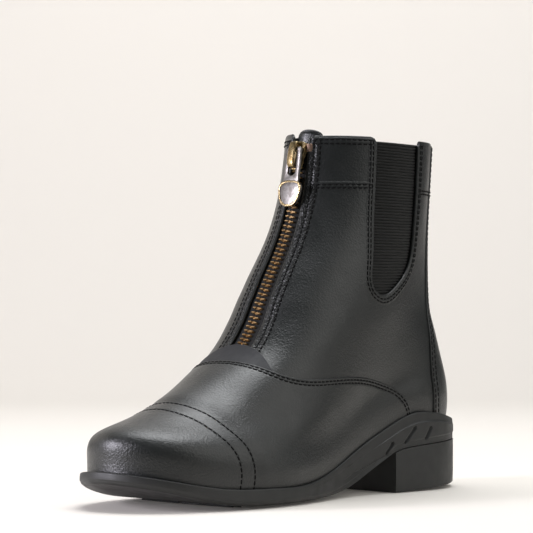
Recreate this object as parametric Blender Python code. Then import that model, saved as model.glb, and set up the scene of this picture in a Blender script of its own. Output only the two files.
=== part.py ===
"""Paddock boot with a front zip, elastic gores and a cup outsole on a block heel.

The upper is one hollow wall, worked out from the sections of its last. A section is a closed loop
that runs from the back of the heel round the outer side to the front and home round the inner side.
"""
import math

import bmesh
import bpy
import numpy as np
from mathutils import Matrix, Vector

mm = 0.001

# Driving dimensions. X points to the outer side, -Y to the toe, Z up.
sole_length = 268 * mm
ball_width = 92 * mm
shaft_width = 73 * mm
collar_height = 197 * mm
instep_height = 85.5 * mm
heel_seat_height = 33 * mm
toe_seat_height = 19 * mm
leather = 1.9 * mm
overlay_leather = 1.1 * mm
cap_leather = 1.4 * mm
thin_leather = 0.7 * mm
clearance = 0.3 * mm

# Sole
cup_lip = 2.1 * mm
ridge_step = 0.8 * mm
toe_margin = 6.2 * mm
side_margin = 4.6 * mm
waist_margin = 3.6 * mm
heel_margin = 4.7 * mm
heel_back_margin = 6.2 * mm
tread_depth = 3.2 * mm
tread_inset = 2.4 * mm
edge_round = 0.8 * mm
slot_depth = 2 * mm
slot_width = 3.2 * mm
slot_foot_lift = 2 * mm
slot_top_drop = 1.5 * mm
heel_breast = 74 * mm
breast_allowance = 14 * mm
breast_hollow = 3 * mm
insole_thickness = 2.5 * mm

# Gores, zip and pull
elastic = 1.4 * mm
gore_overlap = 6 * mm
zip_slot = 13 * mm
zip_bottom = 85 * mm
tape_width = 27 * mm
tape_thickness = 0.9 * mm
zip_stop_drop = 4 * mm
chain_width = 7 * mm
chain_rise = 1.8 * mm
guard_width = 38 * mm
guard_thickness = 1.2 * mm
guard_rise = 6.5 * mm
guard_bump = 12 * mm
guard_shift = 4.8 * mm
slider_drop = 12 * mm
slider_length = 16 * mm
slider_width = 9.5 * mm
slider_thickness = 2.4 * mm
crown_width = 4.2 * mm
crown_height = 3.4 * mm
crown_bar = 1.3 * mm
crown_inset = 1.2 * mm
crown_sink = 0.6 * mm
pull_length = 36 * mm
pull_bar = 1.9 * mm
pull_play = 1.2 * mm
pull_frame_width = 8.8 * mm
pull_slot_length = 16.5 * mm
neck_width = 4.2 * mm
medallion_width = 12 * mm
medallion_height = 14 * mm
medallion_rim = 1.1 * mm
medallion_recess = 0.5 * mm

# Cutters reach past the boot by a spare length, and start behind the front line
spare = 10 * mm
front_start = 0.28
point_gap = 1 * mm
edge_lead = (18.6 * mm, 23.4 * mm)

# Resolution of the faceted solids
columns = 54
mesh_rows = (0, 0.5, 1, 1.5, 2, 2.5, 3, 3.5, 4, 4.6, 5.3, 6, 6.9, 7.8, 8.8, 10)
curve_steps = 18

# Share of a section's length at which its half-widths are given
width_stations = (0.06, 0.22, 0.42, 0.64, 0.84, 0.95)

# Sections from the feather line up to the collar.
# back and front: places along the sole, as shares of sole_length
# back_rise: share of the way from heel seat to collar
# front_rise: 0 at the toe seat, 1 at the instep, 2 at the collar
# drop: how much of the feather line's curve the section keeps
# outer and inner: half-widths, as shares of ball_width or shaft_width, the size named in girth
sections = (
    # name, back, back_rise, front, front_rise, drop, girth, outer, inner
    ("feather", 0.021, 0.00, 0.963, 0.00, 1.00, "ball",
     (0.272, 0.335, 0.342, 0.473, 0.435, 0.280), (0.272, 0.325, 0.285, 0.440, 0.435, 0.280)),
    ("cup", 0.014, 0.067, 0.976, 0.134, 0.95, "ball",
     (0.293, 0.350, 0.370, 0.500, 0.457, 0.302), (0.293, 0.342, 0.315, 0.473, 0.451, 0.293)),
    ("toe_mid", 0.016, 0.128, 0.961, 0.277, 0.85, "ball",
     (0.299, 0.359, 0.370, 0.478, 0.435, 0.285), (0.299, 0.348, 0.337, 0.467, 0.425, 0.270)),
    ("toe_top", 0.022, 0.189, 0.904, 0.385, 0.60, "ball",
     (0.293, 0.348, 0.364, 0.446, 0.375, 0.235), (0.293, 0.337, 0.342, 0.435, 0.364, 0.225)),
    ("cap", 0.040, 0.262, 0.796, 0.520, 0.35, "ball",
     (0.283, 0.348, 0.370, 0.413, 0.350, 0.212), (0.283, 0.337, 0.359, 0.407, 0.345, 0.210)),
    ("vamp", 0.061, 0.348, 0.690, 0.740, 0.15, "ball",
     (0.261, 0.348, 0.380, 0.397, 0.350, 0.225), (0.261, 0.337, 0.370, 0.393, 0.350, 0.225)),
    ("instep", 0.073, 0.445, 0.585, 1.00, 0.05, "ball",
     (0.223, 0.332, 0.391, 0.402, 0.360, 0.252), (0.223, 0.332, 0.391, 0.402, 0.360, 0.255)),
    ("bend", 0.073, 0.555, 0.528, 1.22, 0.00, "shaft",
     (0.247, 0.404, 0.493, 0.500, 0.425, 0.282), (0.247, 0.404, 0.493, 0.500, 0.428, 0.286)),
    ("ankle", 0.073, 0.689, 0.481, 1.454, 0.00, "shaft",
     (0.233, 0.404, 0.500, 0.493, 0.385, 0.230), (0.233, 0.404, 0.500, 0.493, 0.385, 0.230)),
    ("shaft", 0.070, 0.835, 0.446, 1.712, 0.00, "shaft",
     (0.233, 0.411, 0.496, 0.486, 0.356, 0.185), (0.233, 0.411, 0.496, 0.486, 0.356, 0.185)),
    ("collar", 0.063, 1.00, 0.416, 2.00, 0.00, "shaft",
     (0.236, 0.411, 0.493, 0.473, 0.336, 0.171), (0.236, 0.411, 0.493, 0.473, 0.336, 0.171)),
)

# Lines along the sole: place as a share of sole_length, height as a share of heel_seat_height
feather_line = (
    # along, height
    (0.00, 1.03), (0.11, 1.03), (0.22, 0.99), (0.33, 0.76), (0.44, 0.44), (0.55, 0.27),
    (0.66, 0.24), (0.78, 0.27), (0.89, 0.40), (1.00, 0.62),
)
cup_line = (
    # along, height
    (0.00, 1.20), (0.07, 1.27), (0.16, 1.34), (0.22, 1.31), (0.30, 1.06), (0.38, 0.79),
    (0.45, 0.55), (0.53, 0.36), (0.60, 0.28), (0.70, 0.28), (0.80, 0.31), (0.90, 0.45), (1.00, 0.66),
)
ridge_line = (
    # along, height
    (0.00, 1.06), (0.08, 1.11), (0.16, 1.17), (0.22, 1.12), (0.30, 0.88), (0.38, 0.63),
    (0.45, 0.44), (0.53, 0.28), (0.60, 0.22), (0.70, 0.22), (0.80, 0.26), (0.90, 0.40), (1.00, 0.60),
)
under_line = (
    # along, height
    (0.00, 0.86), (0.15, 0.80), (0.26, 0.71), (0.35, 0.48), (0.43, 0.26), (0.50, 0.12),
    (0.58, 0.02), (0.65, 0.00), (0.76, 0.00), (0.84, 0.07), (0.92, 0.22), (1.00, 0.40),
)
margin_line = (
    # along, size
    (0.02, heel_back_margin), (0.07, heel_margin), (0.20, heel_margin), (0.40, waist_margin),
    (0.62, side_margin), (0.85, side_margin), (0.97, toe_margin),
)

# Edges seen from the side: along as a share of sole_length.
# Height as a share of instep_height for the vamp and its patch, else of collar_height
vamp_edge = (
    # name, along, height
    ("apex", 0.654, 0.894), ("shoulder", 0.642, 0.857), ("turn", 0.622, 0.811), ("side", 0.580, 0.767),
    ("waist", 0.515, 0.756), ("wing", 0.426, 0.763), ("wing_end", 0.364, 0.751), ("fall", 0.300, 0.710),
    ("drop", 0.250, 0.645), ("hook", 0.224, 0.565), ("foot", 0.211, 0.472),
)
patch_edge = (
    # name, along, height
    ("apex", 0.612, 0.986), ("shoulder", 0.618, 0.933), ("side", 0.616, 0.864), ("end", 0.606, 0.797),
)
backstay_edge = (
    # name, along, height
    ("collar", 0.100, 1.04), ("ankle", 0.118, 0.70), ("heel", 0.130, 0.54), ("counter", 0.139, 0.40),
    ("cup", 0.130, 0.21), ("sole", 0.120, 0.12),
)
gore_edge = (
    # name, along, height
    ("rear_top", 0.196, 1.04), ("rear", 0.202, 0.86), ("rear_waist", 0.209, 0.74), ("turn", 0.224, 0.635),
    ("slope", 0.270, 0.579), ("floor", 0.327, 0.552), ("corner", 0.352, 0.575), ("front", 0.354, 0.64),
    ("front_waist", 0.343, 0.76), ("front_shaft", 0.332, 0.87), ("front_top", 0.320, 1.04),
)
cap_seam_centre = 0.817
cap_seam_side = 0.739

# Slots in the sole's side: where their foot is and where their top is, as shares of sole_length
side_slots = (
    # foot, top
    (0.287, 0.263), (0.239, 0.201), (0.164, 0.141),
)


def cubic(knots, values, places):
    """Natural cubic curve through values at the knots, read at the places."""
    knots = np.asarray(knots, float)
    values = np.asarray(values, float)
    places = np.atleast_1d(np.asarray(places, float))
    flat = values.reshape(len(knots), -1)
    gap = np.diff(knots)
    system = np.eye(len(knots))
    target = np.zeros_like(flat)
    for i in range(1, len(knots) - 1):
        system[i, i - 1:i + 2] = gap[i - 1], 2 * (gap[i - 1] + gap[i]), gap[i]
        target[i] = 6 * ((flat[i + 1] - flat[i]) / gap[i] - (flat[i] - flat[i - 1]) / gap[i - 1])
    bend = np.linalg.solve(system, target)
    i = np.clip(np.searchsorted(knots, places, side="right") - 1, 0, len(knots) - 2)
    width = gap[i][:, None]
    right = (places[:, None] - knots[i][:, None]) / width
    left = 1 - right
    curve = left * flat[i] + right * flat[i + 1]
    curve += ((left**3 - left) * bend[i] + (right**3 - right) * bend[i + 1]) * width**2 / 6
    return curve.reshape((len(places),) + values.shape[1:])


def along_line(line, along, size):
    """Height of a line of the sole at the places along it."""
    table = np.array(line)
    share = cubic(table[:, 0], table[:, 1], np.clip(along / sole_length, 0, 1))
    return np.maximum(share, 0) * size


def margin_at(along):
    """How far the sole stands out past the feather line."""
    table = np.array(margin_line)
    return np.interp(along / sole_length, table[:, 0], table[:, 1])


def front_height(rise):
    """Height of the front line at a rise of 0 for the toe, 1 for the instep and 2 for the collar."""
    if rise <= 1:
        return toe_seat_height + rise * (instep_height - toe_seat_height)
    return instep_height + (rise - 1) * (collar_height - instep_height)


def section_loop(section, count):
    """Points (x, along, z) of one section, evenly spaced on each side, first at the back."""
    name, back, back_rise, front, front_rise, drop, girth, outer, inner = section
    width = {"ball": ball_width, "shaft": shaft_width}[girth]
    stations = np.array(width_stations)
    x = np.concatenate(([0], np.array(outer) * width, [0], -np.array(inner[::-1]) * width))
    share = np.concatenate(([0], stations, [1], stations[::-1]))
    along = (back + (front - back) * share) * sole_length
    corners = len(x)
    wrap = 4
    index = np.arange(-wrap, corners + wrap + 1) % corners
    points = np.stack([x, along], 1)[index]
    walk = np.concatenate(([0], np.cumsum(np.hypot(*np.diff(points, axis=0).T))))
    start, end = walk[wrap], walk[wrap + corners]
    middle = walk[wrap + len(stations) + 1]
    fine = np.linspace(start, end, 1201)
    curve = cubic(walk, points, fine)
    length = np.concatenate(([0], np.cumsum(np.hypot(*np.diff(curve, axis=0).T))))
    turn = np.interp(middle, fine, length)
    half = count // 2
    wanted = np.concatenate((
        np.linspace(0, turn, half, endpoint=False),
        np.linspace(turn, length[-1], count - half, endpoint=False),
    ))
    x, along = cubic(walk, points, np.interp(wanted, length, fine)).T
    share = np.clip((along / sole_length - back) / (front - back), 0, 1)
    low = heel_seat_height + back_rise * (collar_height - heel_seat_height)
    high = front_height(front_rise)
    feather = sections[0]
    foot = (feather[1] + (feather[3] - feather[1]) * share) * sole_length
    chord = heel_seat_height + (toe_seat_height - heel_seat_height) * share
    z = low + (high - low) * share + drop * (along_line(feather_line, foot, heel_seat_height) - chord)
    return np.stack([x, along, z], 1)


def last_surface(rows, count):
    """The upper's outer face at the given rows, and its outward normals, both (rows, count, 3)."""
    knots = np.arange(len(sections))
    loops = np.array([section_loop(section, count) for section in sections])
    surface = cubic(knots, loops, rows)
    step = 0.02
    up = cubic(knots, loops, np.asarray(rows) + step) - cubic(knots, loops, np.asarray(rows) - step)
    round_ = np.roll(surface, -1, axis=1) - np.roll(surface, 1, axis=1)
    normal = np.cross(round_, up)
    normal /= np.linalg.norm(normal, axis=2)[:, :, None]
    return surface, normal


def sole_middle():
    """The middle of the sole's outline, across and along."""
    name, back, back_rise, front, front_rise, drop, girth, outer, inner = sections[0]
    toe = front * sole_length + toe_margin
    heel = back * sole_length - heel_back_margin
    return (max(outer) - max(inner)) * ball_width / 2, (toe + heel) / 2


def world(points):
    """From (x, along, z) to the boot's own frame, whose origin is under the middle of the sole."""
    points = np.asarray(points, float)
    across, along = sole_middle()
    return np.stack([points[..., 0] - across, along - points[..., 1], points[..., 2]], -1)


def offset_loops(distance, rows=mesh_rows):
    """Loops of the upper's surface moved outward by a distance."""
    surface, normal = last_surface(rows, columns)
    return list(surface + normal * distance)


def plan_offset(loop, distance):
    """A loop moved outward in plan, each point by its own distance."""
    step = np.roll(loop, -1, axis=0) - np.roll(loop, 1, axis=0)
    normal = np.stack([step[:, 1], -step[:, 0]], 1)
    normal /= np.linalg.norm(normal, axis=1)[:, None]
    moved = loop.copy()
    moved[:, :2] += normal * np.reshape(distance, (-1, 1))
    return moved


def with_height(loop, z):
    """The same loop at other heights."""
    moved = loop.copy()
    moved[:, 2] = z
    return moved


def collection(name):
    """A collection of the scene, made once."""
    if name not in bpy.data.collections:
        bpy.context.scene.collection.children.link(bpy.data.collections.new(name))
    return bpy.data.collections[name]


def material(name, colour, roughness, metallic=0.0):
    """A plain surface of one colour."""
    made = bpy.data.materials.new(name)
    made.use_nodes = True
    shader = made.node_tree.nodes["Principled BSDF"]
    shader.inputs["Base Color"].default_value = (*colour, 1)
    shader.inputs["Roughness"].default_value = roughness
    shader.inputs["Metallic"].default_value = metallic
    return made


def add_object(name, bm, finish, smooth_angle=40):
    """Turn a bmesh into a named piece of the boot."""
    bmesh.ops.recalc_face_normals(bm, faces=bm.faces)
    mesh = bpy.data.meshes.new(name)
    bm.to_mesh(mesh)
    bm.free()
    made = bpy.data.objects.new(name, mesh)
    if finish is None:
        collection("cutters").objects.link(made)
        made.hide_render = True
        made.display_type = "WIRE"
        return made
    mesh.materials.append(finish)
    mesh.shade_smooth()
    mesh.set_sharp_from_angle(angle=math.radians(smooth_angle))
    collection("paddock_boot").objects.link(made)
    return made


def cap(bm, loop):
    """Close a loop with rungs from its outer side to its inner side."""
    count = len(loop)
    for j in range(count // 2):
        corners = []
        for k in (j, j + 1, (count - j - 1) % count, (count - j) % count):
            if loop[k] not in corners:
                corners.append(loop[k])
        if len(corners) > 2:
            bm.faces.new(corners)


def loft(loops, ring=False):
    """A closed solid through loops of equal count, capped at both ends or run round as a ring.

    Each four-sided patch is split along the same diagonal, so that layers keep their distance.
    """
    bm = bmesh.new()
    rings = [[bm.verts.new(point) for point in world(loop)] for loop in loops]
    count = len(rings[0])
    pairs = list(zip(rings, rings[1:]))
    if ring:
        pairs.append((rings[-1], rings[0]))
    for low, high in pairs:
        rises = sum(vert.co.z for vert in low) < sum(vert.co.z for vert in high)
        for j in range(count):
            near, far = (j, (j + 1) % count) if rises else ((j + 1) % count, j)
            bm.faces.new((low[near], high[near], high[far]))
            bm.faces.new((low[near], high[far], low[far]))
    if not ring:
        cap(bm, rings[0])
        cap(bm, rings[-1])
    return bm


def band(near, far, first, last, top=0.0):
    """A sleeve of the upper's own shape between two distances from its outer face."""
    rows = [row for row in mesh_rows if first <= row <= last]
    if top:
        rows.append(mesh_rows[-1] + top)
    return loft(offset_loops(far, rows) + offset_loops(near, rows)[::-1], ring=True)


def prism(name, outline, axis, low, high):
    """A cutter: an outline of (along, z) run along X, (x, z) along Y or (x, along) along Z."""
    bm = bmesh.new()
    verts = []
    for a, b in outline:
        point = {"X": (low, a, b), "Y": (a, low, b), "Z": (a, b, low)}[axis]
        verts.append(bm.verts.new(world(point)))
    face = bm.faces.new(verts)
    grown = bmesh.ops.extrude_face_region(bm, geom=[face])
    start = {"X": (low, 0, 0), "Y": (0, low, 0), "Z": (0, 0, low)}[axis]
    end = {"X": (high, 0, 0), "Y": (0, high, 0), "Z": (0, 0, high)}[axis]
    way = Vector(world(end) - world(start))
    moved = [item for item in grown["geom"] if isinstance(item, bmesh.types.BMVert)]
    bmesh.ops.translate(bm, verts=moved, vec=way)
    return add_object(name, bm, None)


def boolean(piece, cutter, operation):
    """Cut, keep or join with an exact Boolean."""
    step = piece.modifiers.new(f"{operation.lower()}_{cutter.name}", "BOOLEAN")
    step.operation = operation
    step.solver = "EXACT"
    step.object = cutter


def side_curve(table, tall, steps=curve_steps):
    """A smooth line through a table's named points, seen from the side, as (along, z)."""
    points = np.array([(along * sole_length, height * tall) for _, along, height in table])
    walk = np.concatenate(([0], np.cumsum(np.hypot(*np.diff(points, axis=0).T))))
    return cubic(walk, points, np.linspace(0, walk[-1], steps))


def moved_curve(curve, distance):
    """A line moved sideways by a distance, to the left of its run."""
    step = np.gradient(curve, axis=0)
    step /= np.linalg.norm(step, axis=1)[:, None]
    return curve + np.stack([-step[:, 1], step[:, 0]], 1) * distance


def cup_top_curve(lift):
    """The cup's top line seen from the side, heel to toe, raised by a lift."""
    along = np.linspace(-0.02, 1.02, 2 * curve_steps) * sole_length
    return np.stack([along, along_line(cup_line, along, heel_seat_height) + lift], 1)


def vamp_outline(gap):
    """The area of vamp and toe seen from the side, drawn in by a gap along the vamp's edge."""
    edge = moved_curve(side_curve(vamp_edge, instep_height), gap)
    lead = edge[0] + edge_lead
    low = cup_top_curve(2 * clearance)
    foot = (edge[-1, 0], float(np.interp(edge[-1, 0], *low.T)))
    low = low[low[:, 0] > edge[-1, 0] + point_gap]
    edge = edge[edge[:, 1] > foot[1] + point_gap]
    return [lead, *edge, foot, *low, (1.1 * sole_length, low[-1, 1]), (1.1 * sole_length, lead[1])]


def cap_outline(shift):
    """Plan of everything ahead of the toe cap's seam, the seam moved toward the heel by a shift."""
    x = np.linspace(-0.7, 0.7, curve_steps) * ball_width
    reach = cap_seam_centre - (cap_seam_centre - cap_seam_side) * (x / (ball_width / 2)) ** 2
    seam = np.stack([x, reach * sole_length - shift], 1)
    return [*seam, (x[-1], 1.1 * sole_length), (x[0], 1.1 * sole_length)]


def make_upper(finish):
    """The hollow wall, with its zip slot and a notch on each side for the gores."""
    bm = loft(offset_loops(0) + upper_lining()[::-1], ring=True)
    upper = add_object("upper", bm, finish)
    wide = shaft_width
    gores = prism("gore_cut", side_curve(gore_edge, collar_height, 2 * curve_steps), "X", -wide, wide)
    boolean(upper, gores, "DIFFERENCE")
    half = zip_slot / 2
    top = collar_height + spare
    slot = [(-half, zip_bottom), (half, zip_bottom), (half, top), (-half, top)]
    start = front_start * sole_length
    boolean(upper, prism("zip_cut", slot, "Y", start, sole_length), "DIFFERENCE")
    return upper


def upper_lining():
    """Loops of the wall's inner face, its foot level with the feather line."""
    loops = offset_loops(-leather)
    foot = offset_loops(0)[0]
    loops[0][:, 2] = foot[:, 2]
    loops[-1][:, 2] = collar_height
    return loops


def make_overlays(finish):
    """Toe cap, vamp, patch and backstay, laid over the upper."""
    wide = ball_width
    near = clearance
    tall = 0.6 * collar_height
    toe_cap = add_object("toe_cap", band(near, near + cap_leather, 0, 6), finish)
    boolean(toe_cap, prism("above_cup", vamp_outline(0), "X", -wide, wide), "INTERSECT")
    boolean(toe_cap, prism("cap_front", cap_outline(0), "Z", -0.1 * tall, tall), "INTERSECT")
    vamp = add_object("vamp", band(near, near + overlay_leather, 0, 7), finish)
    boolean(vamp, prism("vamp_area", vamp_outline(0), "X", -wide, wide), "INTERSECT")
    boolean(vamp, prism("cap_zone", cap_outline(clearance), "Z", -0.1 * tall, tall), "DIFFERENCE")
    patch = add_object("vamp_patch", band(near, near + thin_leather, 3, 9), finish)
    top = side_curve(patch_edge, instep_height)
    base = moved_curve(side_curve(vamp_edge, instep_height), -clearance)
    base = base[base[:, 0] > top[-1, 0] - spare / 4]
    outline = [top[0] + edge_lead, *top, *base[::-1], base[0] + edge_lead]
    boolean(patch, prism("patch_area", outline, "X", -wide, wide), "INTERSECT")
    backstay = add_object("backstay", band(near, near + overlay_leather, 0, 10), finish)
    edge = side_curve(backstay_edge, collar_height)
    low = cup_top_curve(2 * clearance)
    foot = float(np.interp(edge[-1, 0], *low.T))
    corner = (edge[-1, 0], foot)
    low = low[low[:, 0] < edge[-1, 0] - point_gap]
    edge = edge[edge[:, 1] > foot + point_gap]
    outline = [*edge, corner, *low[::-1]]
    outline += [(-0.1 * sole_length, low[0, 1]), (-0.1 * sole_length, edge[0, 1])]
    boolean(backstay, prism("backstay_area", outline, "X", -wide, wide), "INTERSECT")


def make_gores(finish):
    """The elastic sheets inside the quarters, a little larger than their notches."""
    near = -leather - clearance
    edge = moved_curve(side_curve(gore_edge, collar_height, 2 * curve_steps), -gore_overlap)
    top = collar_height - point_gap
    edge = [point for point in edge if point[1] < top - point_gap]
    outline = [(edge[0][0], top), *edge, (edge[-1][0], top)]
    for name, low, high in (("gore_lateral", 0.1, 1), ("gore_medial", -0.1, -1)):
        gore = add_object(name, band(near - elastic, near, 5, 10), finish)
        cutter = prism(f"{name}_area", outline, "X", low * shaft_width, high * shaft_width)
        boolean(gore, cutter, "INTERSECT")


def front_strip(name, near, far, width, bottom, top, finish, over=0.0):
    """A strip of the upper's own shape along its front line."""
    strip = add_object(name, band(min(near, far), max(near, far), 4, 10, over), finish)
    outline = [(-width / 2, bottom), (width / 2, bottom), (width / 2, top), (-width / 2, top)]
    start = front_start * sole_length
    boolean(strip, prism(f"{name}_area", outline, "Y", start, sole_length), "INTERSECT")
    return strip


def make_zip(tape_finish, teeth_finish, leather_finish):
    """Tape, the strip of teeth and the guard that stands behind them."""
    tape_face = -leather - clearance
    tape_back = tape_face - tape_thickness
    chain_foot = tape_face + clearance
    top = collar_height - zip_stop_drop
    tape_low = zip_bottom - zip_stop_drop
    front_strip("zip_tape", tape_face, tape_back, tape_width, tape_low, top, tape_finish)
    chain_top = top - point_gap
    chain_low = zip_bottom + point_gap
    front_strip("zip_chain", chain_foot, chain_foot + chain_rise, chain_width, chain_low, chain_top,
                teeth_finish)
    guard_face = tape_back - clearance
    guard = add_object("zip_guard", band(guard_face - guard_thickness, guard_face, 5, 10, 0.3),
                       leather_finish)
    half = guard_width / 2
    foot = zip_bottom + zip_stop_drop
    top = collar_height - point_gap
    angles = np.linspace(0, math.pi, curve_steps // 2)
    bump = [(guard_bump * math.cos(a) + guard_shift, top + guard_rise * math.sin(a)) for a in angles]
    outline = [(-half, foot), (half, foot), (half, top), *bump, (-half, top)]
    start = front_start * sole_length
    boolean(guard, prism("guard_area", outline, "Y", start, sole_length), "INTERSECT")


def cup_inside():
    """Loops up the cup's inner face: at the feather line, half-way and at the cup's top."""
    rows = (0, 0.5, 1, 1.5, 2)
    stack = np.array(offset_loops(clearance, rows))
    foot = stack[0]
    top = along_line(cup_line, foot[:, 1], heel_seat_height)
    loops = [foot]
    for share in (0.5, 1.0):
        loop = foot.copy()
        for j in range(columns):
            height = foot[j, 2] + share * (top[j] - foot[j, 2])
            row = float(np.interp(height, stack[:, j, 2], np.arange(len(rows))))
            low = min(int(row), len(rows) - 2)
            loop[j] = stack[low, j] + (row - low) * (stack[low + 1, j] - stack[low, j])
        loops.append(loop)
    return loops


def sole_plan():
    """The feather line in plan, and how far along the sole each of its points lies."""
    foot = offset_loops(0, (0,))[0]
    return foot, foot[:, 1]


def board_plan(foot):
    """Plan of the insole: the feather line drawn in by the upper's wall and its clearance."""
    return plan_offset(foot, -(leather + 2 * clearance) * np.ones(columns))


def side_loop(distance, line, lift=0.0):
    """A loop of the sole's side at a distance inside its full margin."""
    foot, along = sole_plan()
    moved = plan_offset(foot, margin_at(along) - distance)
    return with_height(moved, along_line(line, along, heel_seat_height) + lift)


def make_outsole(finish):
    """The cup sole: platform, cup wall, ridge, side and tread pad, with slots in its side."""
    foot, along = sole_plan()
    inside = cup_inside()
    lip = plan_offset(inside[2], cup_lip)
    platform = board_plan(foot)
    platform[:, 2] -= clearance
    inside[0][:, 2] -= clearance
    lip_low = with_height(lip, side_loop(0, ridge_line)[:, 2] + ridge_step)
    rim = tread_depth
    loops = [
        side_loop(tread_inset + edge_round, under_line),
        side_loop(tread_inset, under_line, edge_round / 2),
        side_loop(tread_inset, under_line, rim),
        side_loop(edge_round / 2, under_line, rim),
        side_loop(0, under_line, rim + edge_round),
        side_loop(0, ridge_line),
        lip_low,
        lip,
        inside[2],
        inside[1],
        inside[0],
        platform,
    ]
    outsole = add_object("outsole", loft(loops), finish, smooth_angle=30)
    for number, (slot_foot, slot_top) in enumerate(side_slots):
        low = slot_foot * sole_length
        high = slot_top * sole_length
        foot_z = float(along_line(under_line, np.array([low]), heel_seat_height)[0]) + rim + slot_foot_lift
        top_z = float(along_line(ridge_line, np.array([high]), heel_seat_height)[0]) - slot_top_drop
        half = slot_width / 2
        outline = [(low - half, foot_z), (low + half, foot_z), (high + half, top_z), (high - half, top_z)]
        for side, name in ((1, "outer"), (-1, "inner")):
            at = np.argmin(np.abs(along - (low + high) / 2) + np.where(foot[:, 0] * side > 0, 0, 1))
            face = abs(foot[at, 0]) + float(margin_at(along[at]))
            cutter = prism(f"slot_{name}_{number}", outline, "X", side * (face - slot_depth), side * 2 * face)
            boolean(outsole, cutter, "DIFFERENCE")
    return outsole


def make_heel(finish):
    """The heel block under the cup sole, cut hollow at its breast."""
    foot, along = sole_plan()
    keep = int(np.sum(along[: columns // 2] < heel_breast + breast_allowance))
    order = list(range(keep)) + list(range(columns - keep + 1, columns))

    def heel_loop(distance, z):
        moved = plan_offset(foot, margin_at(along) - distance)[order]
        return with_height(moved, z)

    top = along_line(under_line, along, heel_seat_height)[order] - clearance
    inset = edge_round / 2
    bm = loft([
        heel_loop(inset + edge_round, 0),
        heel_loop(inset, edge_round),
        heel_loop(inset, top),
    ])
    heel = add_object("heel", bm, finish, smooth_angle=30)
    wide = ball_width
    x = np.linspace(-0.5, 0.5, curve_steps // 2) * ball_width
    breast = [(value, heel_breast - breast_hollow * (1 - (2 * value / ball_width) ** 2)) for value in x]
    ahead = heel_breast + ball_width
    outline = [*breast, (x[-1], ahead), (x[0], ahead)]
    boolean(heel, prism("breast_cut", outline, "Z", -wide, wide), "DIFFERENCE")
    return heel


def make_insole(finish):
    """A thin board lying on the sole, inside the upper's wall."""
    low = board_plan(sole_plan()[0])
    high = with_height(low, low[:, 2] + insole_thickness)
    return add_object("insole", loft([low, high]), finish)


def zip_frame():
    """Place and lean of the slider on the front line: x across, y up the zip, z away from the boot."""
    rows = np.linspace(6, 10, 81)
    surface, normal = last_surface(rows, columns)
    middle = columns // 2
    front = world(surface[:, middle])
    outward = world(surface[:, middle] + normal[:, middle]) - front
    at = int(np.argmin(np.abs(front[:, 2] - (collar_height - slider_drop))))
    chain_face = -leather + chain_rise
    z_axis = Vector(outward[at]).normalized()
    z_axis.x = 0
    z_axis.normalize()
    x_axis = Vector((1, 0, 0))
    y_axis = z_axis.cross(x_axis)
    frame = Matrix((x_axis, y_axis, z_axis)).transposed().to_4x4()
    frame.translation = Vector(front[at]) + z_axis * chain_face
    return frame


def block(name, size, centre, finish, bevel=0.4 * mm):
    """A bevelled box in the slider's frame."""
    bm = bmesh.new()
    bmesh.ops.create_cube(bm, size=1)
    bmesh.ops.scale(bm, verts=bm.verts, vec=size)
    bmesh.ops.translate(bm, verts=bm.verts, vec=centre)
    if bevel:
        bmesh.ops.bevel(bm, geom=bm.edges[:], offset=bevel, segments=2, affect="EDGES", profile=0.5)
    return add_object(name, bm, finish)


def outline_mesh(name, rings, low, high, finish):
    """A flat piece between two heights, from an outer ring of (x, y) and any holes, filled as a curve."""
    curve = bpy.data.curves.new(name, "CURVE")
    curve.dimensions = "2D"
    curve.fill_mode = "BOTH"
    curve.extrude = (high - low) / 2
    for ring in rings:
        spline = curve.splines.new("POLY")
        spline.points.add(len(ring) - 1)
        spline.use_cyclic_u = True
        for point, (x, y) in zip(spline.points, ring):
            point.co = (x, y, 0, 1)
    drawn = bpy.data.objects.new(f"{name}_curve", curve)
    bpy.context.scene.collection.objects.link(drawn)
    bpy.context.view_layer.update()
    flat = bpy.data.meshes.new_from_object(drawn.evaluated_get(bpy.context.evaluated_depsgraph_get()))
    bpy.data.objects.remove(drawn)
    bm = bmesh.new()
    bm.from_mesh(flat)
    bpy.data.meshes.remove(flat)
    bmesh.ops.remove_doubles(bm, verts=bm.verts, dist=0.01 * mm)
    bmesh.ops.translate(bm, verts=bm.verts, vec=(0, 0, (low + high) / 2))
    return add_object(name, bm, finish)


def oval(width, height, centre, count=28, power=2.3):
    """A soft-cornered oval."""
    points = []
    for k in range(count):
        angle = 2 * math.pi * k / count
        c, s = math.cos(angle), math.sin(angle)
        x = math.copysign(abs(c) ** (2 / power), c) * width / 2
        y = math.copysign(abs(s) ** (2 / power), s) * height / 2
        points.append((x, centre + y))
    return points


def rounded_frame(width, low, high, radius, steps=4):
    """A rectangle with round corners, from low to high."""
    points = []
    corners = ((1, high, 0), (-1, high, 90), (-1, low, 180), (1, low, 270))
    for side, y, turn in corners:
        inner_y = y - radius if y == high else y + radius
        for k in range(steps + 1):
            angle = math.radians(turn + 90 * k / steps)
            x = side * (width / 2 - radius) + radius * math.cos(angle)
            points.append((x, inner_y + radius * math.sin(angle)))
    return points


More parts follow.
